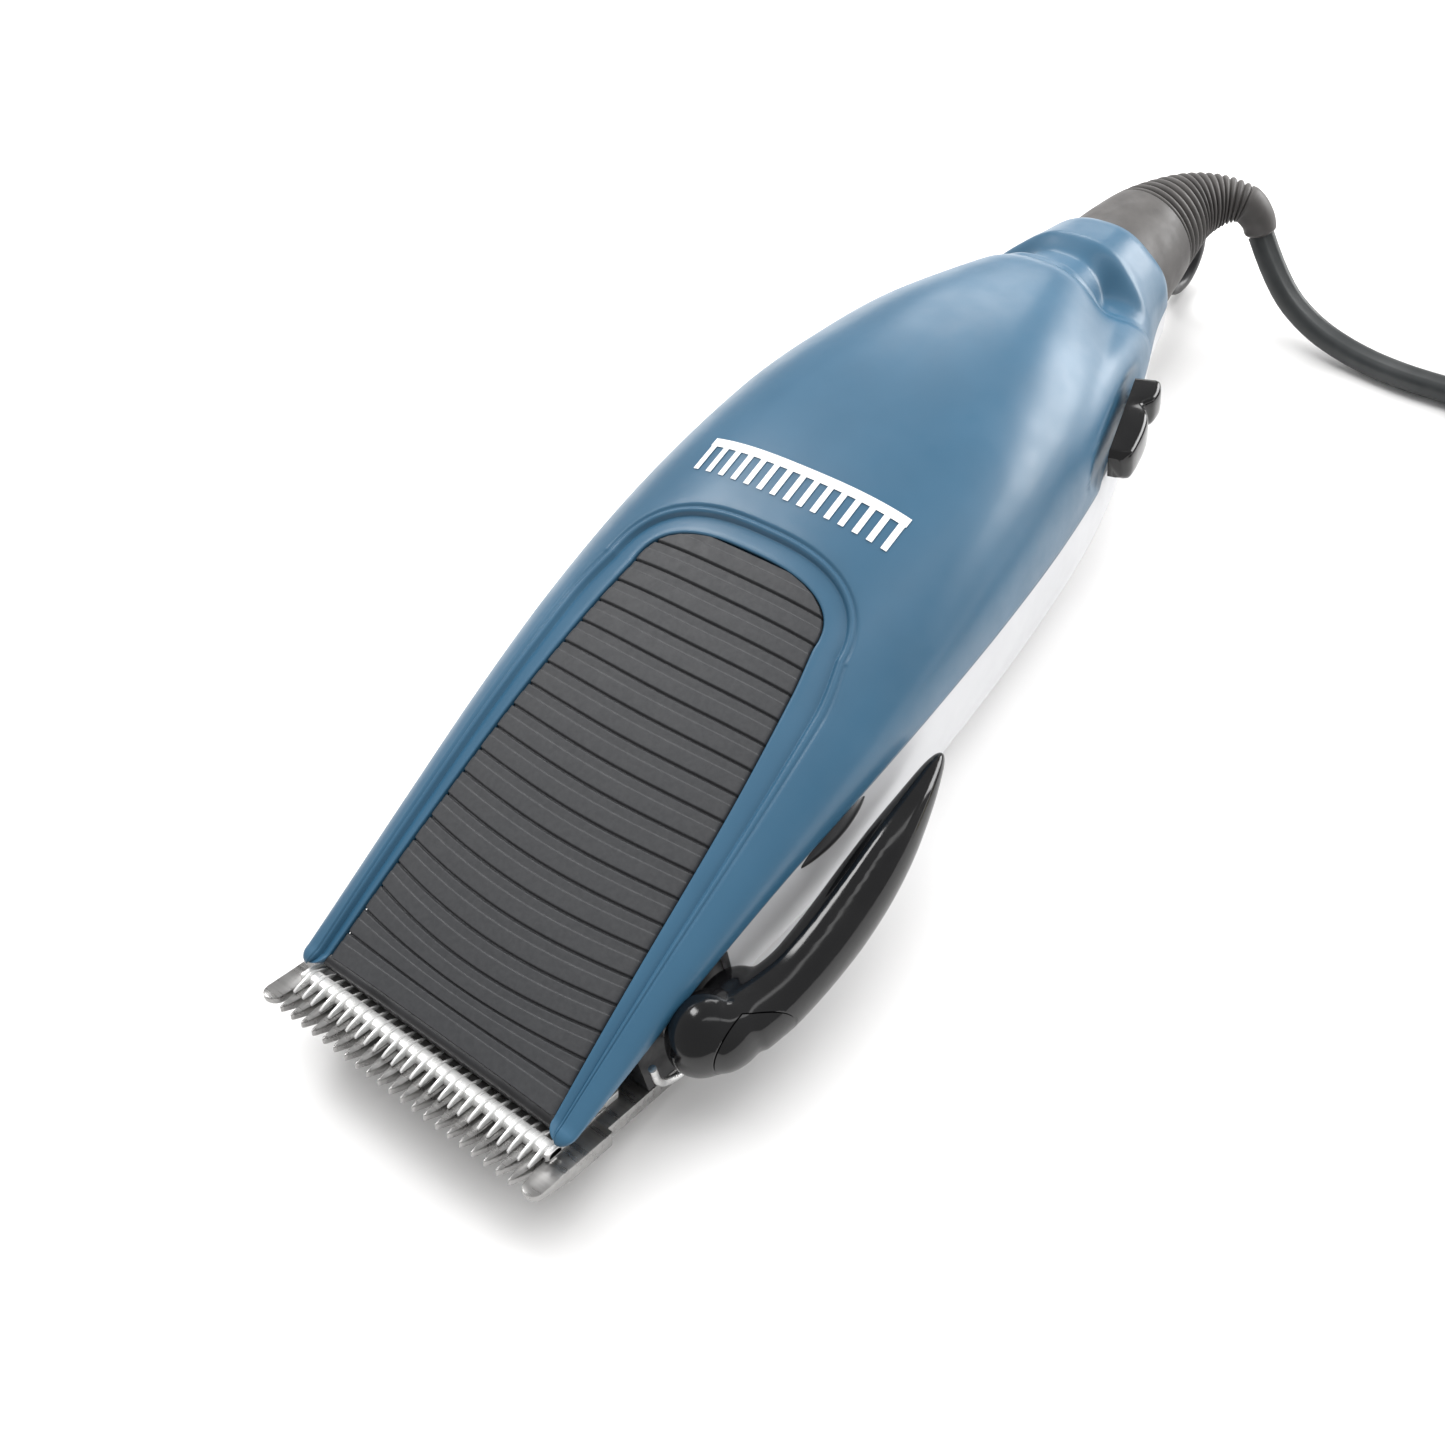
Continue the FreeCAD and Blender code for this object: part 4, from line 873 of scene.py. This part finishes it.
def fixed_blade():
    """The comb blade: a stepped plate, leaf-shaped teeth and a petal-shaped ear each side."""
    pieces = [
        blade_solid("blade_front", [(-22.95, 5.6), (22.95, 5.6), (23.0, 12.2), (22.9, 12.5),
                                    (-22.9, 12.5), (-23.0, 12.2)], 2.2, bevel=0.12),
        blade_solid("blade_rear", [(-22.2, 12.5), (22.2, 12.5), (22.2, 30.6), (21.8, 31.0),
                                   (-21.8, 31.0), (-22.2, 30.6)], 2.12, bevel=0.1),
    ]
    for x in (-BLADE_SCREW_X, BLADE_SCREW_X):
        sink = [[blade_place(x + radius * math.cos(2 * math.pi * k / 48),
                             BLADE_SCREW_V + radius * math.sin(2 * math.pi * k / 48), n)
                 for k in range(48)] for n, radius in SCREW_SINK]
        boolean(pieces[1], loft_rings("screw_sink", sink), "DIFFERENCE")
    leaf = [(-0.52, 6.0), (-0.66, 4.6), (-0.68, 3.2), (-0.52, 1.8), (-0.26, 0.5), (-0.12, 0.15),
            (0.12, 0.15), (0.26, 0.5), (0.52, 1.8), (0.68, 3.2), (0.66, 4.6), (0.52, 6.0)]
    for k in range(FIXED_TEETH):
        middle = (k - (FIXED_TEETH - 1) / 2) * FIXED_PITCH
        outline = [(middle + x, v) for x, v in leaf]
        pieces.append(blade_solid(f"tooth_{k}", outline, 2.2, ground=True, bevel=0.09))
    petal = [(20.0, 6.2), (20.15, 3.4), (20.3, 1.5)]
    for k in range(9):
        angle = math.pi * (1 - k / 8)
        petal.append((21.62 + 1.32 * math.cos(angle), 1.35 - 1.3 * math.sin(angle)))
    petal += [(22.95, 3.0), (22.95, 6.2)]
    for side in (-1, 1):
        outline = [(side * x, v) for x, v in (petal if side > 0 else reversed(petal))]
        pieces.append(blade_solid(f"ear_{side}", outline, 2.2, ground=True, bevel=0.12))
    return joined("fixed_blade_plate", pieces)


def cutter_shelf():
    """The cutter's flat body, behind its ridge and under the housing."""
    outline = [(-20.4, 6.5), (20.4, 6.5), (20.4, 14.1), (20.0, 14.5), (-20.0, 14.5),
               (-20.4, 14.1)]
    return blade_solid("cutter_body", outline, 2.7, 2.25, bevel=0.1)


def moving_blade():
    """The cutter: a polished ridge with fins that run out over the fixed blade's teeth; its
    near-white steel is a painted reflection.
    """
    pieces = []
    ridge = [(2.25, 4.75), (2.9, 4.75), (3.22, 4.95), (3.38, 5.35), (3.40, 5.9), (3.32, 6.3),
             (3.1, 6.6), (2.8, 6.75), (2.25, 6.75)]
    rows = []
    for k in range(21):
        x = -20.6 + 41.2 * k / 20
        close = 1.0 if 0 < k < 20 else 0.93
        rows.append([blade_place(x, 5.85 + (v - 5.85) * close, 2.25 + (n - 2.25) * close)
                     for n, v in ridge])
    pieces.append(loft_rings("cutter_ridge", rows))
    fin = [(7.9, 2.3), (7.85, 2.75), (7.0, 3.15), (5.9, 3.5), (4.9, 3.6), (3.2, 3.0),
           (2.6, 2.6), (2.6, 2.3)]
    for k in range(CUTTER_TEETH):
        middle = (k - (CUTTER_TEETH - 1) / 2) * CUTTER_PITCH

        def put(v, n, x, middle=middle):
            return blade_place(middle + x, v, n)
        pieces.append(extruded(f"fin_{k}", fin, -0.17, 0.17, put, 0.06, 2))
    for side in (-1, 1):
        leg = [(20.0, 4.6), (20.35, 4.4), (20.6, 4.8), (20.6, 7.4), (20.45, 8.2), (20.2, 9.4),
               (20.2, 16.4), (19.6, 16.9), (19.3, 16.4), (19.55, 9.4), (19.7, 8.2), (19.9, 7.4)]
        outline = [(side * x, v) for x, v in (leg if side > 0 else reversed(leg))]
        pieces.append(blade_solid(f"cutter_leg_{side}", outline, 3.45, 2.3, bevel=0.12))
    return joined("moving_blade_comb", pieces)


finish_piece(fixed_blade(), "casing", "blade_steel", "fixed_blade")
# The cutter's ridge, fins and legs take the near-white steel as a painted reflection.
finish_piece(moving_blade(), "cutter", "blade_steel", "moving_blade", material=reflection_painted_steel())
# The cutter's body takes the darker ground steel, partly as a ground finish and partly as painted
# shade where it lies in the gap under the housing.
finish_piece(cutter_shelf(), "cutter", "blade_steel")


# ---------------------------------------------------------------- lever
LEVER_PATH = [
    # centre x, y, z, half width, half height
    (28.6, 30.0, 12.7, 4.1, 4.1),
    (29.55, 34.0, 12.7, 4.0, 4.0),
    (30.15, 37.6, 12.8, 3.75, 3.9),
    (30.4, 41.5, 13.1, 3.75, 3.9),
    (30.45, 46.0, 13.5, 3.75, 4.0),
    (30.4, 51.5, 14.5, 3.6, 3.8),
    (30.25, 57.1, 15.9, 3.1, 3.3),
    (29.8, 62.8, 17.1, 2.2, 2.4),
    (29.35, 66.5, 17.8, 1.5, 1.6),
    (29.1, 68.6, 18.1, 0.95, 1.05),
    (29.0, 69.8, 18.25, 0.4, 0.5),
]
LEVER_BALLS = [
    # centre and half sizes of the swellings round the hinge
    (26.3, 26.4, 13.2, 4.4, 5.3, 4.9),
    (28.9, 28.6, 12.9, 3.2, 5.4, 4.2),
    (26.3, 31.0, 12.8, 3.9, 5.0, 3.5),
]


def ellipsoid(name, spot, halves, around=40, along=24):
    """An ellipsoid round spot, as rings along X."""
    rings = []
    for i in range(along + 1):
        a = math.pi * (i + 0.02) / (along + 0.04)
        centre = Vector(spot) - ACROSS * halves[0] * math.cos(a)
        wide, high = halves[1] * math.sin(a), halves[2] * math.sin(a)
        rings.append(ring_points(centre, BACK, UP, wide, high, around))
    return loft_rings(name, rings)


def lever_tube():
    """The arm, from inside its hub to its pointed end."""
    rings = []
    steps = 90
    tables = columns([(k, *row) for k, row in enumerate(LEVER_PATH)])
    for i in range(steps + 1):
        at = (len(LEVER_PATH) - 1) * i / steps
        centre, heading = path_at(tables, at, 0.3)
        wide, high = (curve_value(table, at) for table in tables[3:])
        up = (UP - heading * heading.z).normalized()
        across = heading.cross(up).normalized()
        rings.append(ring_points(centre, across, up, wide, high, 56, 2.15))
    return loft_rings("lever_tube", rings)


def cutter_box(name, low, high):
    """A plain box to cut with, between two corners."""
    x0, y0, z0 = low
    x1, y1, z1 = high
    return extruded(name, [(x0, y0), (x1, y0), (x1, y1), (x0, y1)], z0, z1, place)


def cutter_wedge(name, side, corner):
    """The room of the lever's cap: in front of a slanting line, outside a straight one."""
    outline = [(side, 10), (60, 10), (60, corner + (60 - side) * 1.15), (side, corner)]
    return extruded(name, outline, -5, 40, place)


def lever_parts():
    """The arm and its cap: one smooth body, parted by the cap's seam."""
    pieces = [lever_tube()]
    for k, ball in enumerate(LEVER_BALLS):
        pieces.append(ellipsoid(f"lever_ball_{k}", ball[:3], ball[3:]))
    body = joined("lever_arm_body", pieces)
    remesh = body.modifiers.new("one_skin", "REMESH")
    remesh.mode = "VOXEL"
    remesh.voxel_size = 0.26 * MM
    remesh.use_smooth_shade = True
    soften = body.modifiers.new("fillets", "SMOOTH")
    soften.factor = 0.5
    soften.iterations = 24
    apply_modifiers(body)
    boolean(body, cutter_box("trim_inner", (10, 10, -5), (22.7, 60, 40)), "DIFFERENCE")
    boolean(body, cutter_box("spring_room", (10, 28.5, -5), (24.7, 60, 11.8)), "DIFFERENCE")
    cap = body.copy()
    cap.data = body.data.copy()
    cap.name = "lever_cap_shell"
    bpy.context.scene.collection.objects.link(cap)
    # the two cuts leave a narrow groove as the seam
    boolean(cap, cutter_wedge("cap_room", 29.9, 29.2), "INTERSECT")
    boolean(body, cutter_wedge("body_room", 29.75, 29.25), "DIFFERENCE")
    for obj in (body, cap):
        shade(obj.data, 50)
    return body, cap


arm, cap = lever_parts()
finish_piece(arm, "lever", "black_plastic", "lever_arm")
finish_piece(cap, "lever", "black_plastic", "lever_cap")


PAD_START = 46.6
PAD_LENGTH = 13.0
PAD_HEIGHT = 1.5  # half of its height in the middle
PAD_SWELL = 1.85  # how far it bulges there


def stop_pad():
    """The soft pad behind the lever, set against the casing's side under the seam."""
    rows = []
    for i in range(33):
        t = i / 32
        y = PAD_START + PAD_LENGTH * t
        tall = PAD_HEIGHT * math.sin(math.pi * (0.03 + 0.94 * t)) ** 0.6
        swell = PAD_SWELL * math.sin(math.pi * (0.02 + 0.96 * t)) ** 0.5
        middle = curve_value(SEAM, y) - 1.7
        side = curve_value(HALF, y) - 1.35
        row = []
        for k in range(17):
            a = math.pi * (k / 16 - 0.5)
            row.append(place(side + swell * math.cos(a), y, middle + tall * math.sin(a)))
        row += [place(side - 1.0, y, middle + tall), place(side - 1.0, y, middle - tall)]
        rows.append(row)
    return loft_rings("stop_pad_lens", rows, sharp_angle=60)


def belly_wall_patch():
    """The belly's wall round the pad, where the CAD pad fills a window in it."""
    source = nodes["lever_stop_pad"]
    verts = [source.matrix_world @ vertex.co for vertex in source.data.vertices]
    faces = [tuple(polygon.vertices) for polygon in source.data.polygons]
    return mesh_object("belly_wall_patch", verts, faces, sharp_angle=40)


finish_piece(stop_pad(), "casing", "charcoal_rubber", "lever_stop_pad",
             material=MATERIALS["frame_plastic"])
finish_piece(belly_wall_patch(), "casing", "grey_shell")


# ---------------------------------------------------------------- switch
def switch_slider():
    """The slider: a raised block at its tail, a dip, then a longer rounded thumb piece."""
    tops = [(-8.1, 0.4), (-7.6, 1.1), (-6.8, 1.6), (-4.5, 1.95), (-2.0, 2.1), (0.2, 1.95),
            (1.4, 1.5), (2.1, 0.95), (2.6, 0.85), (3.1, 1.2), (3.7, 1.8), (4.4, 2.1), (5.6, 2.3),
            (6.8, 2.2), (7.6, 1.85), (8.1, 1.0)]
    rows = []
    for i in range(97):
        back = -8.1 + 16.2 * i / 96
        out = curve_value(tops, back)
        end = 1 - smooth((abs(back) - 7.2) / 0.9) * 0.3
        row = []
        for a, b in ((-1.4, 2.3), (out - 0.7, 2.38), (out - 0.2, 2.2), (out, 1.7),
                     (out + 0.06, 0.8), (out + 0.06, -0.8), (out, -1.7), (out - 0.2, -2.2),
                     (out - 0.7, -2.38), (-1.4, -2.3)):
            row.append(place(*switch_place(a, back, b * end)))
        rows.append(row)
    return loft_rings("switch_thumb", rows, sharp_angle=60)


finish_piece(switch_slider(), "switch", "black_plastic", "switch_slider")


# ---------------------------------------------------------------- strain relief and loop
RELIEF = [
    (0.0, 156.5, 18.6, 9.9),
    (0.2, 163.0, 18.9, 9.0),
    (0.8, 169.5, 19.1, 7.8),
    (2.6, 176.3, 19.3, 5.8),
    (5.7, 180.4, 19.3, 4.2),
    (9.3, 182.2, 18.8, 3.0),
    (11.6, 182.3, 16.9, 2.55),
    (12.6, 182.0, 14.5, 2.35),
]
RIBBED_FROM = 1.75  # in steps of RELIEF
RIBBED_TO = 5.0
RELIEF_RIBS = 15


def strain_relief():
    """The rubber cone: smooth at its root, then ribbed, bending over to the cord's exit."""
    tables = columns([(k, *row) for k, row in enumerate(RELIEF)])
    last = len(RELIEF) - 1
    steps = 520
    rings = []
    for i in range(steps + 1):
        at = last * i / steps
        centre, heading = path_at(tables, at, 0.15)
        radius = curve_value(tables[3], at) - 0.1
        if RIBBED_FROM < at < RIBBED_TO:
            share = (at - RIBBED_FROM) / (RIBBED_TO - RIBBED_FROM) * RELIEF_RIBS
            wave = abs(math.sin(math.pi * share))
            radius -= 1.05 * (1 - wave**0.5) * (radius / 8) ** 0.5
        elif at >= RIBBED_TO:
            radius += 0.12 * smooth((at - RIBBED_TO) / 0.15)
        if at > last - 0.3:
            radius *= 1 - 0.3 * ((at - last + 0.3) / 0.3) ** 2
        side = heading.cross(UP).normalized()
        up = side.cross(heading)
        rings.append(ring_points(centre, side, up, radius, radius, 72))
    return loft_rings("strain_relief_ribbed", rings)


def hanging_loop():
    """The eye under the strain relief, on a tongue that runs into the casing."""
    rings = []
    centre = Vector((0, 181.0, 7.2))
    for k in range(64):
        a = 2 * math.pi * k / 64
        out = Vector((0, math.cos(a), math.sin(a)))
        rings.append(ring_points(centre + out * 5.3, ACROSS, out, 1.45, 1.05, 20, 2.6))
    rings.append(rings[0])
    ring = loft_rings("loop_ring", rings, False, False)
    rows = []
    for y, z, high in ((151, 7.8, 1.1), (157, 7.3, 1.05), (166, 7.0, 1.0), (176.4, 6.6, 1.0)):
        rows.append(ring_points(Vector((0, y, z)), ACROSS, UP, 1.45, high, 20, 3))
    tongue = loft_rings("loop_tongue", rows)
    return joined("hanging_loop_eye", [ring, tongue])


finish_piece(strain_relief(), "casing", "charcoal_rubber", "strain_relief",
             material=relief_rubber())
finish_piece(hanging_loop(), "casing", "frame_plastic", "hanging_loop")


# ---------------------------------------------------------------- free cord
CORD_WIDTH = 3.8
CORD_THICK = 3.2
CORD_ROUTE = [
    (12.6, 182.0, 14.5),
    (17.2, 179.6, 8.2),
    (24.0, 178.0, 3.7),
    (32.0, 176.6, 2.0),
    (40.0, 175.4, 2.0),
    (48.0, 175.6, 2.0),
    (56.0, 174.6, 2.0),
    (64.0, 172.6, 2.0),
]
TAIL_ROUTE = [
    (57.4, 175.0, 12.8),
    (63.4, 170.2, 10.8),
    (68.0, 165.8, 8.0),
    (71.0, 161.6, 6.5),
    (73.6, 155.6, 6.5),
]
COIL_RINGS = 3
COIL_LAYERS = 4
TURN_POINTS = 18
SHORT_OF_TURN = 49 / 360  # what the last turn lacks, where the tail leaves it


def coil_points():
    """The coil's turns, from its foot at the cord to the end of its top turn."""
    low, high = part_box("cord_coil")
    centre = (low + high) / 2 - SHIFT
    outer = (high.x - low.x) / 2 / MM - CORD_WIDTH / 2
    shrink = math.cos(math.pi / TURN_POINTS)
    total = COIL_RINGS * COIL_LAYERS
    points = []
    for k in range(int((total - SHORT_OF_TURN) * TURN_POINTS) + 1):
        turn = k / TURN_POINTS
        whole = min(int(turn), total - 1)
        part = smooth((turn - whole - 0.7) / 0.3)
        here = turn_place(whole)
        following = turn_place(min(whole + 1, total - 1))
        ring = here[0] + (following[0] - here[0]) * part
        layer = here[1] + (following[1] - here[1]) * part
        angle = -math.pi / 2 + 2 * math.pi * turn
        radius = (outer - ring * CORD_WIDTH) / shrink
        points.append((centre.x / MM + radius * math.cos(angle),
                       centre.y / MM + radius * math.sin(angle),
                       CORD_WIDTH / 2 + 0.1 + layer * CORD_WIDTH))
    return points


def turn_place(turn):
    """The ring, counted from outside, and the layer of a turn of the coil."""
    layer = turn // COIL_RINGS
    ring = turn % COIL_RINGS
    if layer % 2:
        ring = COIL_RINGS - 1 - ring
    return ring, layer


def flat_profile():
    """The cord's cross-section, rounded and a little waisted."""
    curve = bpy.data.curves.new("cord_section", "CURVE")
    spline = curve.splines.new("POLY")
    spline.points.add(27)
    for k, point in enumerate(spline.points):
        a = 2 * math.pi * k / 28
        c, s = math.cos(a), math.sin(a)
        x = math.copysign(abs(c) ** 0.75, c) * CORD_WIDTH / 2
        y = math.copysign(abs(s) ** 0.75, s) * CORD_THICK / 2
        y *= 1 - 0.14 * math.exp(-((x / 0.5) ** 2))
        point.co = (x * MM, y * MM, 0, 1)
    spline.use_cyclic_u = True
    obj = bpy.data.objects.new("cord_section", curve)
    bpy.context.scene.collection.objects.link(obj)
    obj.hide_render = True
    return obj


def free_cord():
    """The whole cord as one curve, from the strain relief through the coil to the plug."""
    curve = bpy.data.curves.new("mains_cord", "CURVE")
    curve.dimensions = "3D"
    curve.twist_mode = "Z_UP"
    curve.resolution_u = 6
    curve.bevel_mode = "OBJECT"
    curve.bevel_object = flat_profile()
    curve.use_fill_caps = True
    points = CORD_ROUTE + coil_points() + TAIL_ROUTE
    spline = curve.splines.new("NURBS")
    spline.points.add(len(points) - 1)
    for point, spot in zip(spline.points, points):
        point.co = (*place(*spot), 1)
    spline.order_u = 3
    spline.use_endpoint_u = True
    obj = bpy.data.objects.new("mains_cord", curve)
    bpy.context.scene.collection.objects.link(obj)
    return obj


PLUG_TURN = math.radians(23.5)
PLUG_LENGTH = 36.0
PLUG_HEIGHT = TAIL_ROUTE[-1][2]


def plug_place(a, b, c):
    """A point in the plug's own frame: a across, b forward to its pins, c up."""
    rear_x, rear_y, _ = TAIL_ROUTE[-1]
    x = rear_x + a * math.cos(PLUG_TURN) + b * math.sin(PLUG_TURN)
    y = rear_y + a * math.sin(PLUG_TURN) - b * math.cos(PLUG_TURN)
    return place(x, y, c)


def plug_body():
    """The moulded plug: a ribbed neck that widens into a rounded grip."""
    sections = [
        # distance from its rear, half width, half height, power
        (0.0, 2.9, 2.9, 2.0), (0.6, 3.2, 3.2, 2.0), (3.0, 3.5, 3.5, 2.0), (6.0, 4.0, 3.9, 2.0),
        (9.0, 4.9, 4.6, 2.2), (12.0, 6.6, 5.2, 2.4), (15.0, 9.4, 5.8, 2.8), (18.0, 11.5, 6.2, 3.2),
        (22.0, 11.8, 6.4, 3.6), (28.0, 11.4, 6.3, 3.6), (33.0, 11.6, 6.3, 3.6),
        (35.2, 11.6, 6.2, 3.6), (35.8, 11.2, 5.9, 3.6), (36.0, 10.6, 5.5, 3.6),
    ]
    tables = columns(sections)
    rings = []
    for i in range(145):
        b = PLUG_LENGTH * i / 144
        wide, high, power = (curve_value(t, b) for t in tables)
        if 1.5 < b < 10.5:
            groove = max(0.0, math.cos(2 * math.pi * b / 1.8)) ** 4
            wide -= 0.35 * groove
            high -= 0.35 * groove
        centre = Vector((0, b, PLUG_HEIGHT))
        rings.append(ring_points(centre, ACROSS, UP, wide, high, 64, power, plug_place))
    return loft_rings("plug_moulded", rings, sharp_angle=60)


cord = free_cord()
plug = finish_piece(plug_body(), "casing", "frame_plastic", "plug_body")
finish_piece(cord, "casing", "cord_rubber", "cord", "cord_coil", "cord_tail")
place(*CORD_ROUTE[0])


# ---------------------------------------------------------------- stage, light and camera
def studio():
    """A white floor a hair under the clipper, a pale surrounding and five lamps."""
    side, drop = 3, -5e-5
    floor = mesh_object("studio_floor", [(-side, -side, drop), (side, -side, drop),
                                         (side, side, drop), (-side, side, drop)],
                        [(0, 1, 2, 3)])
    floor.data.materials.append(floor_white())
    world = bpy.data.worlds.new("studio_world")
    bpy.context.scene.world = world
    world.use_nodes = True
    world.node_tree.nodes["Background"].inputs["Color"].default_value = (1, 1, 1, 1)
    world.node_tree.nodes["Background"].inputs["Strength"].default_value = 0.45
    lamps = [
        # name, place, aim, width, height, power, seen in reflections
        ("overhead_panel", (-0.2, 0.65, 1.5), (0, 0.05, 0), 2.4, 2.1, 45.0, False),
        ("back_window", (0.62, 1.2, 0.42), (0, 0.05, 0), 1.0, 0.6, 17.0, True),
        ("back_lamp", (-0.62, 1.25, 0.66), (0, 0.05, 0), 0.7, 0.45, 4.5, True),
        ("right_panel", (0.4, 0.35, 1.2), (0, 0.05, 0), 0.16, 1.0, 1.0, True),
        ("left_panel", (-0.83, 0.2, 0.97), (0, 0.05, 0), 0.25, 0.5, 4.2, True),
    ]
    for name, spot, aim, wide, high, power, seen in lamps:
        light = bpy.data.lights.new(name, "AREA")
        light.shape = "RECTANGLE"
        light.size = wide
        light.size_y = high
        light.energy = power
        lamp = bpy.data.objects.new(name, light)
        lamp.location = spot
        lamp.rotation_euler = (Vector(aim) - Vector(spot)).to_track_quat("-Z", "Y").to_euler()
        lamp.visible_glossy = seen
        bpy.context.scene.collection.objects.link(lamp)


def camera():
    """The main view: from above, in front and to the right of the blades, a little rolled."""
    azimuth, elevation, roll = (math.radians(a) for a in (48.956, 49.971, -13.598))
    back = Vector((math.sin(azimuth) * math.cos(elevation),
                   -math.cos(azimuth) * math.cos(elevation), math.sin(elevation)))
    level = Vector((math.cos(azimuth), math.sin(azimuth), 0))
    upright = back.cross(level)
    right = level * math.cos(roll) + upright * math.sin(roll)
    up = upright * math.cos(roll) - level * math.sin(roll)
    turn = Matrix((right, up, back)).transposed().to_4x4()
    data = bpy.data.cameras.new("photo_camera")
    data.lens = 41.33
    data.sensor_width = 36
    data.clip_start = 0.01
    obj = bpy.data.objects.new("photo_camera", data)
    obj.matrix_world = Matrix.Translation(place(103.204, -27.525, 176.027)) @ turn
    bpy.context.scene.collection.objects.link(obj)
    bpy.context.scene.camera = obj


studio()
camera()
bpy.context.scene.view_settings.view_transform = "Standard"
